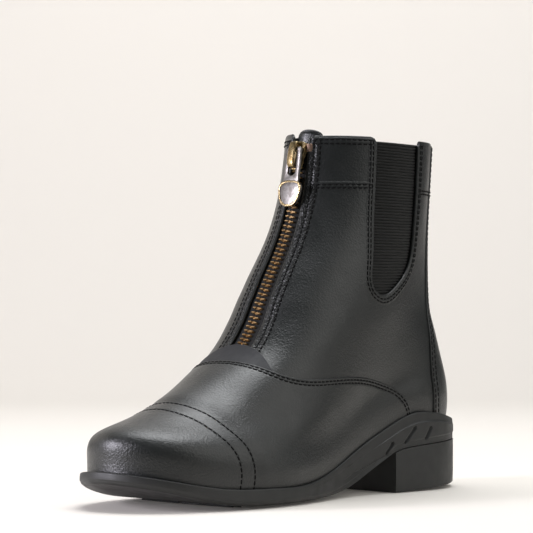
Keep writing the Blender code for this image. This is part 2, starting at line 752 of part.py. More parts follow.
def make_slider(finish):
    """The slider's body and the crown that holds the pull."""
    frame = zip_frame()
    floor = clearance
    face = floor + slider_thickness
    body = block("zip_slider", (slider_width, slider_length, slider_thickness),
                 (0, 0, floor + slider_thickness / 2), finish, 0.7 * mm)
    reach = slider_length / 2 - crown_inset
    height = crown_height + crown_bar
    outer = []
    inner = []
    for k in range(13):
        angle = math.pi * k / 12
        c, s = math.cos(angle), math.sin(angle)
        arch = abs(s) ** 0.45 if s > 1e-9 else 0
        outer.append((reach * math.copysign(abs(c) ** 0.7, c), face + height * arch))
        inner.append(((reach - crown_bar) * math.copysign(abs(c) ** 0.7, c), face + crown_height * arch))
    outer[0] = (reach, face - crown_sink)
    outer[-1] = (-reach, face - crown_sink)
    inner[0] = (reach - crown_bar, face - crown_sink)
    inner[-1] = (-reach + crown_bar, face - crown_sink)
    ring = outer + inner[::-1]
    crown = outline_mesh("crown_form", [ring], -crown_width / 2, crown_width / 2, None)
    turn = Matrix(((0, 0, 1, 0), (1, 0, 0, 0), (0, 1, 0, 0), (0, 0, 0, 1)))
    crown.data.transform(turn)
    crown.matrix_world = frame
    body.matrix_world = frame
    boolean(body, crown, "UNION")
    return body


def pull_axis():
    """Where the pull's bar lies in the slider's frame: up the zip and away from the boot."""
    up = slider_length / 2 - crown_inset - crown_bar - pull_bar / 2 - pull_play
    out = clearance + slider_thickness + crown_height / 2
    return up, out


def make_pull(finish):
    """The pull: a slotted frame that hangs on the crown, and a medallion with a bare field."""
    up, out = pull_axis()
    half_bar = pull_bar / 2
    low = half_bar - pull_length
    neck_low = low + medallion_height - mm
    slot_low = half_bar - pull_bar - pull_slot_length
    frame_low = slot_low - pull_bar
    inner_width = crown_width + 2.4 * clearance
    ring = rounded_frame(pull_frame_width, frame_low, half_bar, 1.6 * mm)
    slot = rounded_frame(inner_width, slot_low, -half_bar, 1.2 * mm)
    thick = pull_bar * 0.9
    pull = outline_mesh("zip_pull", [ring, slot], -thick / 2, thick / 2, finish)
    centre = low + medallion_height / 2
    disc_thick = pull_bar * 1.15
    disc = outline_mesh("medallion_form", [oval(medallion_width, medallion_height, centre)],
                        -disc_thick / 2, disc_thick / 2, None)
    boolean(pull, disc, "UNION")
    neck = outline_mesh(
        "neck_form", [rounded_frame(neck_width, neck_low, frame_low + pull_bar / 2, 0.8 * mm)],
        -thick / 2 + 0.1 * mm, thick / 2 - 0.1 * mm, None)
    boolean(pull, neck, "UNION")
    field = oval(medallion_width - 2 * medallion_rim, medallion_height - 2 * medallion_rim, centre)
    recess = outline_mesh("field_form", [field], disc_thick / 2 - medallion_recess, disc_thick, None)
    boolean(pull, recess, "DIFFERENCE")
    hinge = bpy.data.objects.new("pull_hinge", None)
    collection("paddock_boot").objects.link(hinge)
    frame = zip_frame() @ Matrix.Translation((0, up, out))
    hinge.matrix_world = frame
    for piece in (pull, disc, neck, recess):
        piece.parent = hinge
    return pull


def build():
    """Make every piece of the boot."""
    for old in list(bpy.data.objects):
        bpy.data.objects.remove(old)
    black_leather = material("black_leather", (0.012, 0.012, 0.013), 0.38)
    rubber = material("black_rubber", (0.018, 0.018, 0.018), 0.62)
    ribbed = material("ribbed_elastic", (0.012, 0.012, 0.012), 0.85)
    textile = material("zip_tape_textile", (0.010, 0.010, 0.010), 0.9)
    teeth = material("brass_teeth", (0.55, 0.36, 0.16), 0.35, 1.0)
    antique = material("antique_brass", (0.36, 0.27, 0.17), 0.35, 1.0)
    nickel = material("nickel", (0.55, 0.54, 0.52), 0.3, 1.0)
    board = material("insole_cloth", (0.03, 0.03, 0.03), 0.9)
    make_upper(black_leather)
    make_overlays(black_leather)
    make_gores(ribbed)
    make_zip(textile, teeth, black_leather)
    make_outsole(rubber)
    make_heel(rubber)
    make_insole(board)
    make_slider(antique)
    make_pull(nickel)


build()
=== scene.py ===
# Paddock boot for the left foot: black calf leather, front zip, elastic gores, rubber cup sole.
import math

import bmesh
import bpy
import numpy as np
from mathutils import Matrix, Vector
from mathutils.kdtree import KDTree


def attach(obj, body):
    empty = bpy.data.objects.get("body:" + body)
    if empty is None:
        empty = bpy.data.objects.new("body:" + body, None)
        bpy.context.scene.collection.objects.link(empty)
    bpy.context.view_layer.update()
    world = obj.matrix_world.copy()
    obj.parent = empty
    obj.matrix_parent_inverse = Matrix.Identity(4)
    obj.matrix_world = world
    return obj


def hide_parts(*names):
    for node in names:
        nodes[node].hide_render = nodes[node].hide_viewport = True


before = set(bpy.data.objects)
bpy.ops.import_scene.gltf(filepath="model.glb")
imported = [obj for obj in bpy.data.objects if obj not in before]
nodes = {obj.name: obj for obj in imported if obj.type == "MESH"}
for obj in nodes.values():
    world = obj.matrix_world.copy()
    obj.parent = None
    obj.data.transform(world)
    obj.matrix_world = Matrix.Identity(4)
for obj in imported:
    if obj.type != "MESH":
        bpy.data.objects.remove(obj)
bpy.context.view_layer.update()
mm = 0.001

# The last that the upper is pulled over. Toe to -Y, outer side to +X.
last = {
    "soleLength": 268 * mm,
    "ballWidth": 92 * mm,
    "shaftWidth": 73 * mm,
    "collarHeight": 197 * mm,
    "instepHeight": 85.5 * mm,
    "heelSeat": 33 * mm,
    "toeSeat": 19 * mm,
    "wall": 1.9 * mm,
    "toeMargin": 6.2 * mm,
    "heelBackMargin": 6.2 * mm,
    "footEnds": (0.021, 0.963),
    "outerSwing": 3.036 * mm,
    "columns": 960,
}
widthStations = (0.06, 0.22, 0.42, 0.64, 0.84, 0.95)
lastSections = (
    # back, back rise, front, front rise, drop, girth, outer half-widths, inner half-widths
    (0.021, 0.00, 0.968, 0.00, 1.00, "ballWidth",
     (0.272, 0.335, 0.345, 0.482, 0.445, 0.294), (0.272, 0.325, 0.288, 0.450, 0.444, 0.292)),
    (0.020, 0.067, 0.968, 0.134, 0.95, "ballWidth",
     (0.293, 0.350, 0.370, 0.500, 0.457, 0.302), (0.293, 0.342, 0.315, 0.473, 0.451, 0.293)),
    (0.0225, 0.128, 0.961, 0.292, 0.85, "ballWidth",
     (0.299, 0.359, 0.370, 0.478, 0.437, 0.288), (0.299, 0.348, 0.337, 0.467, 0.428, 0.275)),
    (0.031, 0.189, 0.897, 0.385, 0.60, "ballWidth",
     (0.293, 0.348, 0.364, 0.446, 0.375, 0.235), (0.293, 0.337, 0.342, 0.435, 0.364, 0.225)),
    (0.049, 0.262, 0.796, 0.520, 0.35, "ballWidth",
     (0.283, 0.348, 0.370, 0.413, 0.350, 0.212), (0.283, 0.337, 0.359, 0.407, 0.345, 0.210)),
    (0.0655, 0.348, 0.684, 0.740, 0.15, "ballWidth",
     (0.261, 0.348, 0.380, 0.397, 0.350, 0.225), (0.261, 0.337, 0.370, 0.393, 0.350, 0.225)),
    (0.0745, 0.445, 0.594, 1.00, 0.05, "ballWidth",
     (0.223, 0.332, 0.391, 0.402, 0.360, 0.252), (0.223, 0.332, 0.391, 0.402, 0.360, 0.255)),
    (0.073, 0.555, 0.541, 1.22, 0.00, "shaftWidth",
     (0.247, 0.404, 0.493, 0.500, 0.425, 0.282), (0.247, 0.404, 0.493, 0.500, 0.428, 0.286)),
    (0.073, 0.689, 0.483, 1.454, 0.00, "shaftWidth",
     (0.233, 0.404, 0.500, 0.493, 0.385, 0.230), (0.233, 0.404, 0.500, 0.493, 0.385, 0.230)),
    (0.070, 0.835, 0.4435, 1.712, 0.00, "shaftWidth",
     (0.233, 0.411, 0.496, 0.486, 0.356, 0.185), (0.233, 0.411, 0.496, 0.486, 0.356, 0.185)),
    (0.063, 1.00, 0.4255, 2.00, 0.00, "shaftWidth",
     (0.236, 0.411, 0.493, 0.473, 0.336, 0.171), (0.236, 0.411, 0.493, 0.473, 0.336, 0.171)),
)
topRow = len(lastSections) - 1

# Lines along the sole: place as a share of its length, height as a share of the heel seat's
soleLines = {
    "feather": ((0.00, 1.03), (0.11, 1.03), (0.22, 0.99), (0.33, 0.76), (0.44, 0.44), (0.55, 0.27),
                (0.66, 0.24), (0.78, 0.27), (0.89, 0.40), (1.00, 0.62)),
    "cup": ((0.00, 1.10), (0.07, 1.19), (0.16, 1.30), (0.22, 1.29), (0.30, 1.06), (0.38, 0.79),
            (0.45, 0.55), (0.53, 0.36), (0.60, 0.28), (0.70, 0.28), (0.80, 0.31), (0.90, 0.45), (1.00, 0.66)),
    "ridge": ((0.00, 1.00), (0.08, 1.08), (0.16, 1.16), (0.22, 1.12), (0.30, 0.88), (0.38, 0.63),
              (0.45, 0.44), (0.53, 0.28), (0.60, 0.22), (0.70, 0.22), (0.80, 0.26), (0.90, 0.40), (1.00, 0.60)),
    "under": ((0.00, 0.86), (0.12, 0.81), (0.22, 0.755), (0.265, 0.69), (0.30, 0.56), (0.34, 0.41), (0.39, 0.23),
              (0.45, 0.09), (0.51, 0.02), (0.58, 0.00), (0.76, 0.01), (0.84, 0.11), (0.92, 0.28), (1.00, 0.45)),
}
# Edges seen from the side: place as a share of the sole's length, height as a share of the named one
edges = {
    "vamp": ("instepHeight", (
        (0.654, 0.894), (0.642, 0.857), (0.622, 0.811), (0.580, 0.767), (0.515, 0.756), (0.426, 0.763),
        (0.364, 0.751), (0.300, 0.710), (0.250, 0.645), (0.224, 0.565), (0.211, 0.472))),
    "patch": ("instepHeight", ((0.594, 1.03), (0.603, 0.97), (0.612, 0.90), (0.618, 0.84), (0.619, 0.79))),
    "backstay": ("collarHeight", (
        (0.100, 1.04), (0.118, 0.70), (0.130, 0.54), (0.145, 0.39), (0.144, 0.26), (0.138, 0.19), (0.134, 0.12))),
    "gore": ("collarHeight", (
        (0.196, 1.04), (0.202, 0.86), (0.209, 0.74), (0.224, 0.635), (0.270, 0.579), (0.327, 0.552),
        (0.352, 0.575), (0.354, 0.64), (0.343, 0.76), (0.332, 0.87), (0.320, 1.04))),
}
capSeam = {"centre": 0.797, "side": 0.743, "upright": 42 * mm, "lean": 0.08}


# Second derivatives of the natural cubic through values, one row per knot
def naturalBend(knots, values):
    gap = np.diff(knots)
    system = np.eye(len(knots))
    target = np.zeros_like(values)
    for i in range(1, len(knots) - 1):
        system[i, i - 1:i + 2] = gap[i - 1], 2 * (gap[i - 1] + gap[i]), gap[i]
        target[i] = 6 * ((values[i + 1] - values[i]) / gap[i] - (values[i] - values[i - 1]) / gap[i - 1])
    return np.linalg.solve(system, target)


# Natural cubic curve through values at the knots, read at the places
def cubic(knots, values, places):
    knots = np.asarray(knots, float)
    values = np.asarray(values, float)
    flat = values.reshape(len(knots), -1)
    places = np.atleast_1d(np.asarray(places, float))
    bend = naturalBend(knots, flat)
    i = np.clip(np.searchsorted(knots, places, side="right") - 1, 0, len(knots) - 2)
    width = np.diff(knots)[i][:, None]
    right = (places[:, None] - knots[i][:, None]) / width
    left = 1 - right
    curve = left * flat[i] + right * flat[i + 1]
    curve += ((left**3 - left) * bend[i] + (right**3 - right) * bend[i + 1]) * width**2 / 6
    return curve.reshape((len(places),) + values.shape[1:])


# Height of one of the sole's lines at places along it
def soleLine(name, along):
    table = np.array(soleLines[name])
    along = np.asarray(along, float)
    share = cubic(table[:, 0], table[:, 1], np.clip(along.ravel() / last["soleLength"], 0, 1))
    return np.maximum(share, 0).reshape(along.shape) * last["heelSeat"]


def frontHeight(rise):
    if rise <= 1:
        return last["toeSeat"] + rise * (last["instepHeight"] - last["toeSeat"])
    return last["instepHeight"] + (rise - 1) * (last["collarHeight"] - last["instepHeight"])


# One section of the last as (x, along, z), first at the back, then the outer side
def sectionLoop(section, count):
    back, backRise, front, frontRise, drop, girth, outer, inner = section
    width = last[girth]
    length = last["soleLength"]
    stations = np.array(widthStations)
    x = np.concatenate(([0], np.array(outer) * width, [0], -np.array(inner[::-1]) * width))
    share = np.concatenate(([0], stations, [1], stations[::-1]))
    corners = len(x)
    wrap = 4
    index = np.arange(-wrap, corners + wrap + 1) % corners
    points = np.stack([x, (back + (front - back) * share) * length], 1)[index]
    walk = np.concatenate(([0], np.cumsum(np.hypot(*np.diff(points, axis=0).T))))
    fine = np.linspace(walk[wrap], walk[wrap + corners], 4801)
    curve = cubic(walk, points, fine)
    reach = np.concatenate(([0], np.cumsum(np.hypot(*np.diff(curve, axis=0).T))))
    turn = np.interp(walk[wrap + len(stations) + 1], fine, reach)
    half = count // 2
    wanted = np.concatenate((
        np.linspace(0, turn, half, endpoint=False),
        np.linspace(turn, reach[-1], count - half, endpoint=False),
    ))
    x, along = cubic(walk, points, np.interp(wanted, reach, fine)).T
    share = np.clip((along / length - back) / (front - back), 0, 1)
    low = last["heelSeat"] + backRise * (last["collarHeight"] - last["heelSeat"])
    foot = (lastSections[0][0] + (lastSections[0][2] - lastSections[0][0]) * share) * length
    chord = last["heelSeat"] + (last["toeSeat"] - last["heelSeat"]) * share
    z = low + (frontHeight(frontRise) - low) * share + drop * (soleLine("feather", foot) - chord)
    return np.stack([x, along, z], 1)


skinLoops = np.array([sectionLoop(section, last["columns"]) for section in lastSections])
skinBend = naturalBend(np.arange(len(lastSections)).astype(float), skinLoops.reshape(len(lastSections), -1))
skinBend = skinBend.reshape(skinLoops.shape)


# Points of the upper's smooth skin: u runs once round from the back, v from feather to collar
def skinAt(u, v):
    u, v = np.broadcast_arrays(np.asarray(u, float), np.asarray(v, float))
    column = (u % 1) * last["columns"]
    first = np.floor(column).astype(int) % last["columns"]
    part = (column - np.floor(column))[..., None]
    i = np.clip(np.floor(v).astype(int), 0, topRow - 1)
    right = (v - i)[..., None]
    left = 1 - right

    def read(c):
        line = left * skinLoops[i, c] + right * skinLoops[i + 1, c]
        return line + ((left**3 - left) * skinBend[i, c] + (right**3 - right) * skinBend[i + 1, c]) / 6

    return read(first) * (1 - part) + read((first + 1) % last["columns"]) * part


# Point, outward normal and both slopes of the skin
def skinFrame(u, v):
    stepU = 1.5 / 360
    stepV = 0.03
    alongU = (skinAt(u + stepU, v) - skinAt(u - stepU, v)) / (2 * stepU)
    alongV = (skinAt(u, v + stepV) - skinAt(u, v - stepV)) / (2 * stepV)
    normal = np.cross(alongU, alongV)
    normal /= np.linalg.norm(normal, axis=-1)[..., None]
    return skinAt(u, v), normal, alongU, alongV


# Soft creases, each a path of (along, z) in mm on one side of the boot: 1 outer, -1 inner, 0 both
creases = (
    {"side": 0, "path": ((150, 98), (137, 100), (122, 106)), "width": 7.5, "depth": -0.40},
    {"side": 0, "path": ((144, 112), (130, 113), (116, 118)), "width": 6.5, "depth": -0.35},
    {"side": 1, "path": ((112, 92), (96, 88), (76, 90)), "width": 12.0, "depth": -0.35},
    {"side": -1, "path": ((116, 90), (98, 86), (78, 89)), "width": 12.0, "depth": -0.40},
    {"side": 0, "path": ((40, 96), (33, 99), (20, 100)), "width": 8.0, "depth": -0.35},
    {"side": 0, "path": ((196, 60), (184, 52), (172, 40)), "width": 10.0, "depth": -0.18},
    {"side": 0, "path": ((183, 68), (172, 58), (162, 46)), "width": 9.0, "depth": 0.12},
)


# Distance of 2D points to a path, and how far along the path the nearest point lies, 0 to 1
def pathDistance(points, path):
    path = np.asarray(path, float)
    lengths = np.hypot(*np.diff(path, axis=0).T)
    starts = np.concatenate(([0], np.cumsum(lengths)))
    best = np.full(points.shape[:-1], np.inf)
    where = np.zeros(points.shape[:-1])
    for k, (a, b) in enumerate(zip(path, path[1:])):
        way = b - a
        t = np.clip(((points - a) @ way) / (way @ way), 0, 1)
        d = np.linalg.norm(points - a - t[..., None] * way, axis=-1)
        nearer = d < best
        best = np.where(nearer, d, best)
        where = np.where(nearer, (starts[k] + t * lengths[k]) / starts[-1], where)
    return best, where


# How far the leather stands out or sinks in at points of the skin
def creaseRelief(points):
    relief = np.zeros(points.shape[:-1])
    for crease in creases:
        distance, where = pathDistance(points[..., 1:], np.array(crease["path"]) * mm)
        width = crease["width"] * mm
        fade = np.exp(-(distance / width) ** 2)
        if crease["side"]:
            fade = fade * np.clip(0.5 + crease["side"] * points[..., 0] / (10 * mm), 0, 1)
        relief += crease["depth"] * mm * fade
    return relief


acrossMiddle = last["outerSwing"] / 2
alongMiddle = sum(last["footEnds"]) * last["soleLength"] / 2
alongMiddle += (last["toeMargin"] - last["heelBackMargin"]) / 2


# From (x, along, z) to the frame's own X, Y and Z
def toWorld(points):
    points = np.asarray(points, float)
    return np.stack([points[..., 0] - acrossMiddle, alongMiddle - points[..., 1], points[..., 2]], -1)


# World points at a lift above the creased skin
def liftedSkin(u, v, lift):
    point, normal, alongU, alongV = skinFrame(u, v)
    return toWorld(point + normal * (creaseRelief(point) + lift)[..., None])


# A named edge seen from the side, as (along, z)
def sideCurve(name, steps):
    tall, table = edges[name]
    points = np.array([(along * last["soleLength"], height * last[tall]) for along, height in table])
    walk = np.concatenate(([0], np.cumsum(np.hypot(*np.diff(points, axis=0).T))))
    return cubic(walk, points, np.linspace(0, walk[-1], steps))


# Where each line of skin points, from inside to outside, last leaves the area that test calls < 0
def crossing(lineU, lineV, test):
    value = test(skinAt(lineU, lineV))
    inside = value < 0
    count = value.shape[1]
    at = count - 1 - np.argmax(inside[:, ::-1], axis=1)
    found = inside.any(axis=1) & (at < count - 1)
    at = np.clip(at, 0, count - 2)
    rows = np.arange(len(value))
    before, after = value[rows, at], value[rows, at + 1]
    part = np.clip(before / np.where(before == after, 1, before - after), 0, 1)
    u = lineU[rows, at] * (1 - part) + lineU[rows, at + 1] * part
    v = lineV[rows, at] * (1 - part) + lineV[rows, at + 1] * part
    return np.stack([u, v], 1), found


# The same along the skin's columns, which may fan out from the front as they climb
def columnCrossing(columns, low, high, test, fan=0.0):
    rows = np.linspace(low, high, 700)
    lineU, lineV = np.meshgrid(columns, rows, indexing="ij")
    lineU = 0.5 + (lineU - 0.5) * (1 + fan * lineV)
    return crossing(lineU, lineV, test)


# Below 0 in the vamp and toe, above 0 behind their upper edge
def vampTest(points):
    edge = sideCurve("vamp", 200)[::-1]
    lead = edge[-1] + np.array([18.6, 23.4]) * mm
    edge = np.vstack([edge, lead, lead + np.array([40, 80]) * mm])
    height = np.interp(points[..., 1], edge[:, 0], edge[:, 1], left=-1)
    return points[..., 2] - height


# Below 0 in the toe cap, above 0 behind its seam
def capTest(points):
    low = np.maximum(capSeam["upright"] - points[..., 2], 0)
    reach = (np.abs(points[..., 0]) + capSeam["lean"] * low) / (last["ballWidth"] / 2)
    seam = capSeam["centre"] - (capSeam["centre"] - capSeam["side"]) * reach**2
    return seam * last["soleLength"] - points[..., 1]


def patchTest(points):
    edge = sideCurve("patch", 120)[::-1]
    lead = edge[-1] + np.array([18.6, 23.4]) * mm
    edge = np.vstack([edge[0] - np.array([2, 12]) * mm, edge, lead])
    return np.interp(points[..., 2], edge[:, 1], edge[:, 0]) - points[..., 1]


def cupTest(points):
    return points[..., 2] - soleLine("cup", points[..., 1]) + 2.5 * mm


# A path of skin coordinates moved sideways over the skin, to the left of its run seen from outside
def shiftOnSkin(path, distance):
    steps = max(1, int(math.ceil(abs(distance) / (0.7 * mm))))
    for _ in range(steps):
        point, normal, alongU, alongV = skinFrame(path[:, 0], path[:, 1])
        run = np.gradient(point, axis=0)
        run /= np.linalg.norm(run, axis=1)[:, None]
        move = np.cross(normal, run) * distance / steps
        a, b, c = (alongU * alongU).sum(1), (alongU * alongV).sum(1), (alongV * alongV).sum(1)
        d, e = (alongU * move).sum(1), (alongV * move).sum(1)
        scale = a * c - b * b
        path = path + np.stack([(c * d - b * e) / scale, (a * e - b * d) / scale], 1)
    return path


# Skin coordinates of points given as (along, z) on one side: 1 outer, -1 inner
def findOnSkin(target, side):
    grid = np.linspace(0.02, 0.48, 120)
    columns = grid if side > 0 else 1 - grid
    gridU, gridV = np.meshgrid(columns, np.linspace(0, topRow, 160), indexing="ij")
    seen = skinAt(gridU, gridV)[..., 1:].reshape(-1, 2)
    found = []
    for point in np.asarray(target, float):
        at = int(np.argmin(((seen - point) ** 2).sum(1)))
        found.append((gridU.ravel()[at], gridV.ravel()[at]))
    path = np.array(found)
    for _ in range(12):
        point, normal, alongU, alongV = skinFrame(path[:, 0], path[:, 1])
        miss = np.asarray(target, float) - point[:, 1:]
        a, b, c, d = alongU[:, 1], alongV[:, 1], alongU[:, 2], alongV[:, 2]
        scale = a * d - b * c
        step = np.stack([(d * miss[:, 0] - b * miss[:, 1]) / scale,
                         (a * miss[:, 1] - c * miss[:, 0]) / scale], 1)
        path = path + np.clip(step, -0.05, 0.05)
    return path


# The same path of skin coordinates at an even spacing
def resampled(path, spacing):
    point = skinAt(path[:, 0], path[:, 1])
    walk = np.concatenate(([0], np.cumsum(np.linalg.norm(np.diff(point, axis=0), axis=1))))
    count = max(3, int(round(walk[-1] / spacing)) + 1)
    places = np.linspace(0, walk[-1], count)
    return np.stack([np.interp(places, walk, path[:, 0]), np.interp(places, walk, path[:, 1])], 1)


# An sRGB hex colour as linear values
def linear(code):
    parts = [int(code[i:i + 2], 16) / 255 for i in (1, 3, 5)]
    return tuple(p / 12.92 if p <= 0.04045 else ((p + 0.055) / 1.055) ** 2.4 for p in parts) + (1.0,)


# One node with its settings, its fixed inputs and its links
def addNode(tree, kind, settings=None, values=None, links=None):
    node = tree.nodes.new(kind)
    for key, value in (settings or {}).items():
        setattr(node, key, value)
    for key, value in (values or {}).items():
        node.inputs[key].default_value = value
    for key, source in (links or {}).items():
        tree.links.new(source, node.inputs[key])
    return node


def newMaterial(name, values):
    made = bpy.data.materials.new(name)
    made.use_nodes = True
    shader = made.node_tree.nodes["Principled BSDF"]
    for key, value in values.items():
        shader.inputs[key].default_value = value
    return made, made.node_tree, shader


# Four-sided faces of a grid of points, row by row
def gridFaces(rows, count, offset=0, wrap=False, flip=False):
    columns = count if wrap else count - 1
    a = np.arange(rows - 1)[:, None] * count + np.arange(columns)[None, :]
    b = np.arange(rows - 1)[:, None] * count + (np.arange(columns)[None, :] + 1) % count
    faces = np.stack([a, b, b + count, a + count], -1).reshape(-1, 4) + offset
    return faces[:, ::-1] if flip else faces


# A mesh with its place in its points
def meshObject(name, points, faces, finishes, slots=None, smooth=40):
    mesh = bpy.data.meshes.new(name)
    mesh.from_pydata(np.asarray(points).tolist(), [], [list(face) for face in np.asarray(faces).tolist()])
    for finish in finishes:
        mesh.materials.append(finish)
    if slots is not None:
        mesh.polygons.foreach_set("material_index", np.asarray(slots, np.int32))
    mesh.update()
    mesh.shade_smooth()
    if smooth:
        mesh.set_sharp_from_angle(angle=math.radians(smooth))
    made = bpy.data.objects.new(name, mesh)
    bpy.context.scene.collection.objects.link(made)
    return made


# A closed sheet between an outer and an inner grid of points of one size
def closedSheet(name, outer, inner, finishes, smooth=None):
    rows, count = outer.shape[:2]
    total = rows * count
    points = np.concatenate([outer.reshape(-1, 3), inner.reshape(-1, 3)])
    faces = [gridFaces(rows, count), gridFaces(rows, count, total, flip=True)]
    border = [*range(count), *range(2 * count - 1, total, count), *range(total - 2, total - count - 1, -1),
              *range(total - 2 * count, 0, -count)]
    border = np.array(border)
    after = np.roll(border, -1)
    faces.append(np.stack([border, border + total, after + total, after], 1))
    made = meshObject(name, points, np.concatenate(faces), finishes, smooth=smooth)
    return facingOut(made)


# Turn every face of a closed piece outwards
def facingOut(made):
    bm = bmesh.new()
    bm.from_mesh(made.data)
    bmesh.ops.recalc_face_normals(bm, faces=bm.faces)
    bm.to_mesh(made.data)
    bm.free()
    return made


# Distance of world points to the nearest of some edges
def edgeDistance(points, edgesWorld):
    dense = []
    for edge in edgesWorld:
        walk = np.concatenate(([0], np.cumsum(np.linalg.norm(np.diff(edge, axis=0), axis=1))))
        places = np.linspace(0, walk[-1], int(walk[-1] / (0.12 * mm)) + 2)
        dense.append(np.stack([np.interp(places, walk, edge[:, k]) for k in range(3)], 1))
    dense = np.concatenate(dense)
    tree = KDTree(len(dense))
    for index, point in enumerate(dense):
        tree.insert(point, index)
    tree.balance()
    flat = points.reshape(-1, 3)
    return np.array([tree.find(point)[2] for point in flat]).reshape(points.shape[:-1])


# Skin coordinates between two edges, rows crowded at each edge by distances in mm
def crossGrid(sideA, sideB, nearA, nearB, middle):
    shares = np.linspace(0, 1, 80)
    u = sideA[:, None, 0] * (1 - shares) + sideB[:, None, 0] * shares
    v = sideA[:, None, 1] * (1 - shares) + sideB[:, None, 1] * shares
    point = skinAt(u, v)
    walk = np.zeros(u.shape)
    walk[:, 1:] = np.cumsum(np.linalg.norm(np.diff(point, axis=1), axis=2), axis=1)
    grid = np.zeros((len(sideA), len(nearA) + middle + len(nearB), 2))
    for k in range(len(sideA)):
        length = walk[k, -1]
        room = (nearA[-1] + nearB[-1]) * mm
        tight = min(1.0, 0.8 * length / room) if room else 1.0
        a = np.array(nearA) * mm * tight
        b = length - np.array(nearB)[::-1] * mm * tight
        inner = np.linspace(a[-1], b[0], middle + 2)[1:-1]
        places = np.concatenate([a, inner, b])
        grid[k, :, 0] = np.interp(places, walk[k], u[k])
        grid[k, :, 1] = np.interp(places, walk[k], v[k])
    return grid


# Height of a folded-edge panel at a distance inside its edge, with the troughs its stitches pull in
def rolledLift(distance, thickness, grooves):
    radius = 0.8 * thickness
    rise = np.clip(distance / radius, 0, 1)
    lift = thickness * np.sqrt(np.clip(1 - (1 - rise) ** 2, 0, 1))
    for place, width, depth in grooves:
        lift = lift - depth * mm * np.exp(-((distance / mm - place) / width) ** 2)
    return lift


# A panel of leather over the upper, its visible edges rolled down on to it
def layPanel(name, grid, seams, thickness, grooves, finish, under=0.5 * mm, sink=None):
    flat = liftedSkin(grid[..., 0], grid[..., 1], np.zeros(grid.shape[:2]))
    distance = edgeDistance(flat, seams)
    lift = rolledLift(distance, thickness, grooves)
    if sink is not None:
        lift = sink(skinAt(grid[..., 0], grid[..., 1]), lift)
    outer = liftedSkin(grid[..., 0], grid[..., 1], lift)
    inner = liftedSkin(grid[..., 0], grid[..., 1], np.full(grid.shape[:2], -under))
    return closedSheet(name, outer, inner, [finish])


# Object coordinates, and a bump from a height to a depth in mm
def objectCoords(tree):
    return addNode(tree, "ShaderNodeTexCoord").outputs["Object"]


def addBump(tree, shader, height, depth, strength=1.0, under=None):
    links = {"Height": height}
    if under:
        links["Normal"] = under
    bump = addNode(tree, "ShaderNodeBump", values={"Strength": strength, "Distance": depth * mm}, links=links)
    tree.links.new(bump.outputs["Normal"], shader.inputs["Normal"])
    return bump.outputs["Normal"]


# A texture value spread between two numbers
def spread(tree, value, low, high, fromLow=0.3, fromHigh=0.7):
    node = addNode(tree, "ShaderNodeMapRange", values={1: fromLow, 2: fromHigh, 3: low, 4: high}, links={0: value})
    return node.outputs[0]


# Two colours mixed by a value
def blend(tree, value, codeA, codeB):
    node = addNode(tree, "ShaderNodeMix", {"data_type": "RGBA"}, {6: linear(codeA), 7: linear(codeB)}, {0: value})
    return node.outputs[2]


def noiseAt(tree, coords, size, detail=2.0):
    node = addNode(tree, "ShaderNodeTexNoise", values={"Scale": 1000 / size, "Detail": detail},
                   links={"Vector": coords})
    return node.outputs[0]


# Aniline calf, drum dyed and polished: a satin black whose fine pores show as a soft sparkle in its highlights.
# Pores lie about 0.8 mm apart; drawn at 1.15 mm so that they show. It wrinkles finely beside the zip's foot
calf = {"pore": 1.15, "fine": 0.4, "wrinkleAt": (12 * mm, -16 * mm, 97 * mm), "wrinkleReach": (12 * mm, 36 * mm),
        "dark": "#121413", "light": "#1a1d1c", "roughLow": 0.32, "roughHigh": 0.42}


def calfLeather():
    made, tree, shader = newMaterial("calfLeather", {"IOR": 1.5, "Coat Weight": 0.12, "Coat Roughness": 0.28})
    coords = objectCoords(tree)
    pores = addNode(tree, "ShaderNodeTexVoronoi", {"feature": "SMOOTH_F1"},
                    {"Scale": 1000 / calf["pore"], "Smoothness": 0.5}, {"Vector": coords})
    fine = noiseAt(tree, coords, calf["fine"])
    both = addNode(tree, "ShaderNodeMath", {"operation": "ADD"}, links={0: pores.outputs["Distance"], 1: fine})
    turn = coords
    for angles in ((0, 0, math.radians(-43)), (0, math.radians(32), 0)):
        turn = addNode(tree, "ShaderNodeMapping", values={"Rotation": angles}, links={"Vector": turn}).outputs[0]
    stretch = addNode(tree, "ShaderNodeMapping", values={"Scale": (0.22, 1, 1)}, links={"Vector": turn}).outputs[0]
    wrinkles = noiseAt(tree, stretch, 1.1, 3.0)
    away = addNode(tree, "ShaderNodeVectorMath", {"operation": "DISTANCE"}, {1: calf["wrinkleAt"]}, {0: coords})
    near = spread(tree, away.outputs["Value"], 1.0, 0.03, *calf["wrinkleReach"])
    creased = addNode(tree, "ShaderNodeMath", {"operation": "MULTIPLY"}, links={0: wrinkles, 1: near}).outputs[0]
    first = addBump(tree, shader, both.outputs[0], 0.16, 0.75)
    addBump(tree, shader, creased, 0.35, 0.7, first)
    cloud = noiseAt(tree, coords, 34, 4.0)
    tree.links.new(blend(tree, cloud, calf["dark"], calf["light"]), shader.inputs["Base Color"])
    tree.links.new(spread(tree, noiseAt(tree, coords, 11, 3.0), calf["roughLow"], calf["roughHigh"]),
                   shader.inputs["Roughness"])
    return made


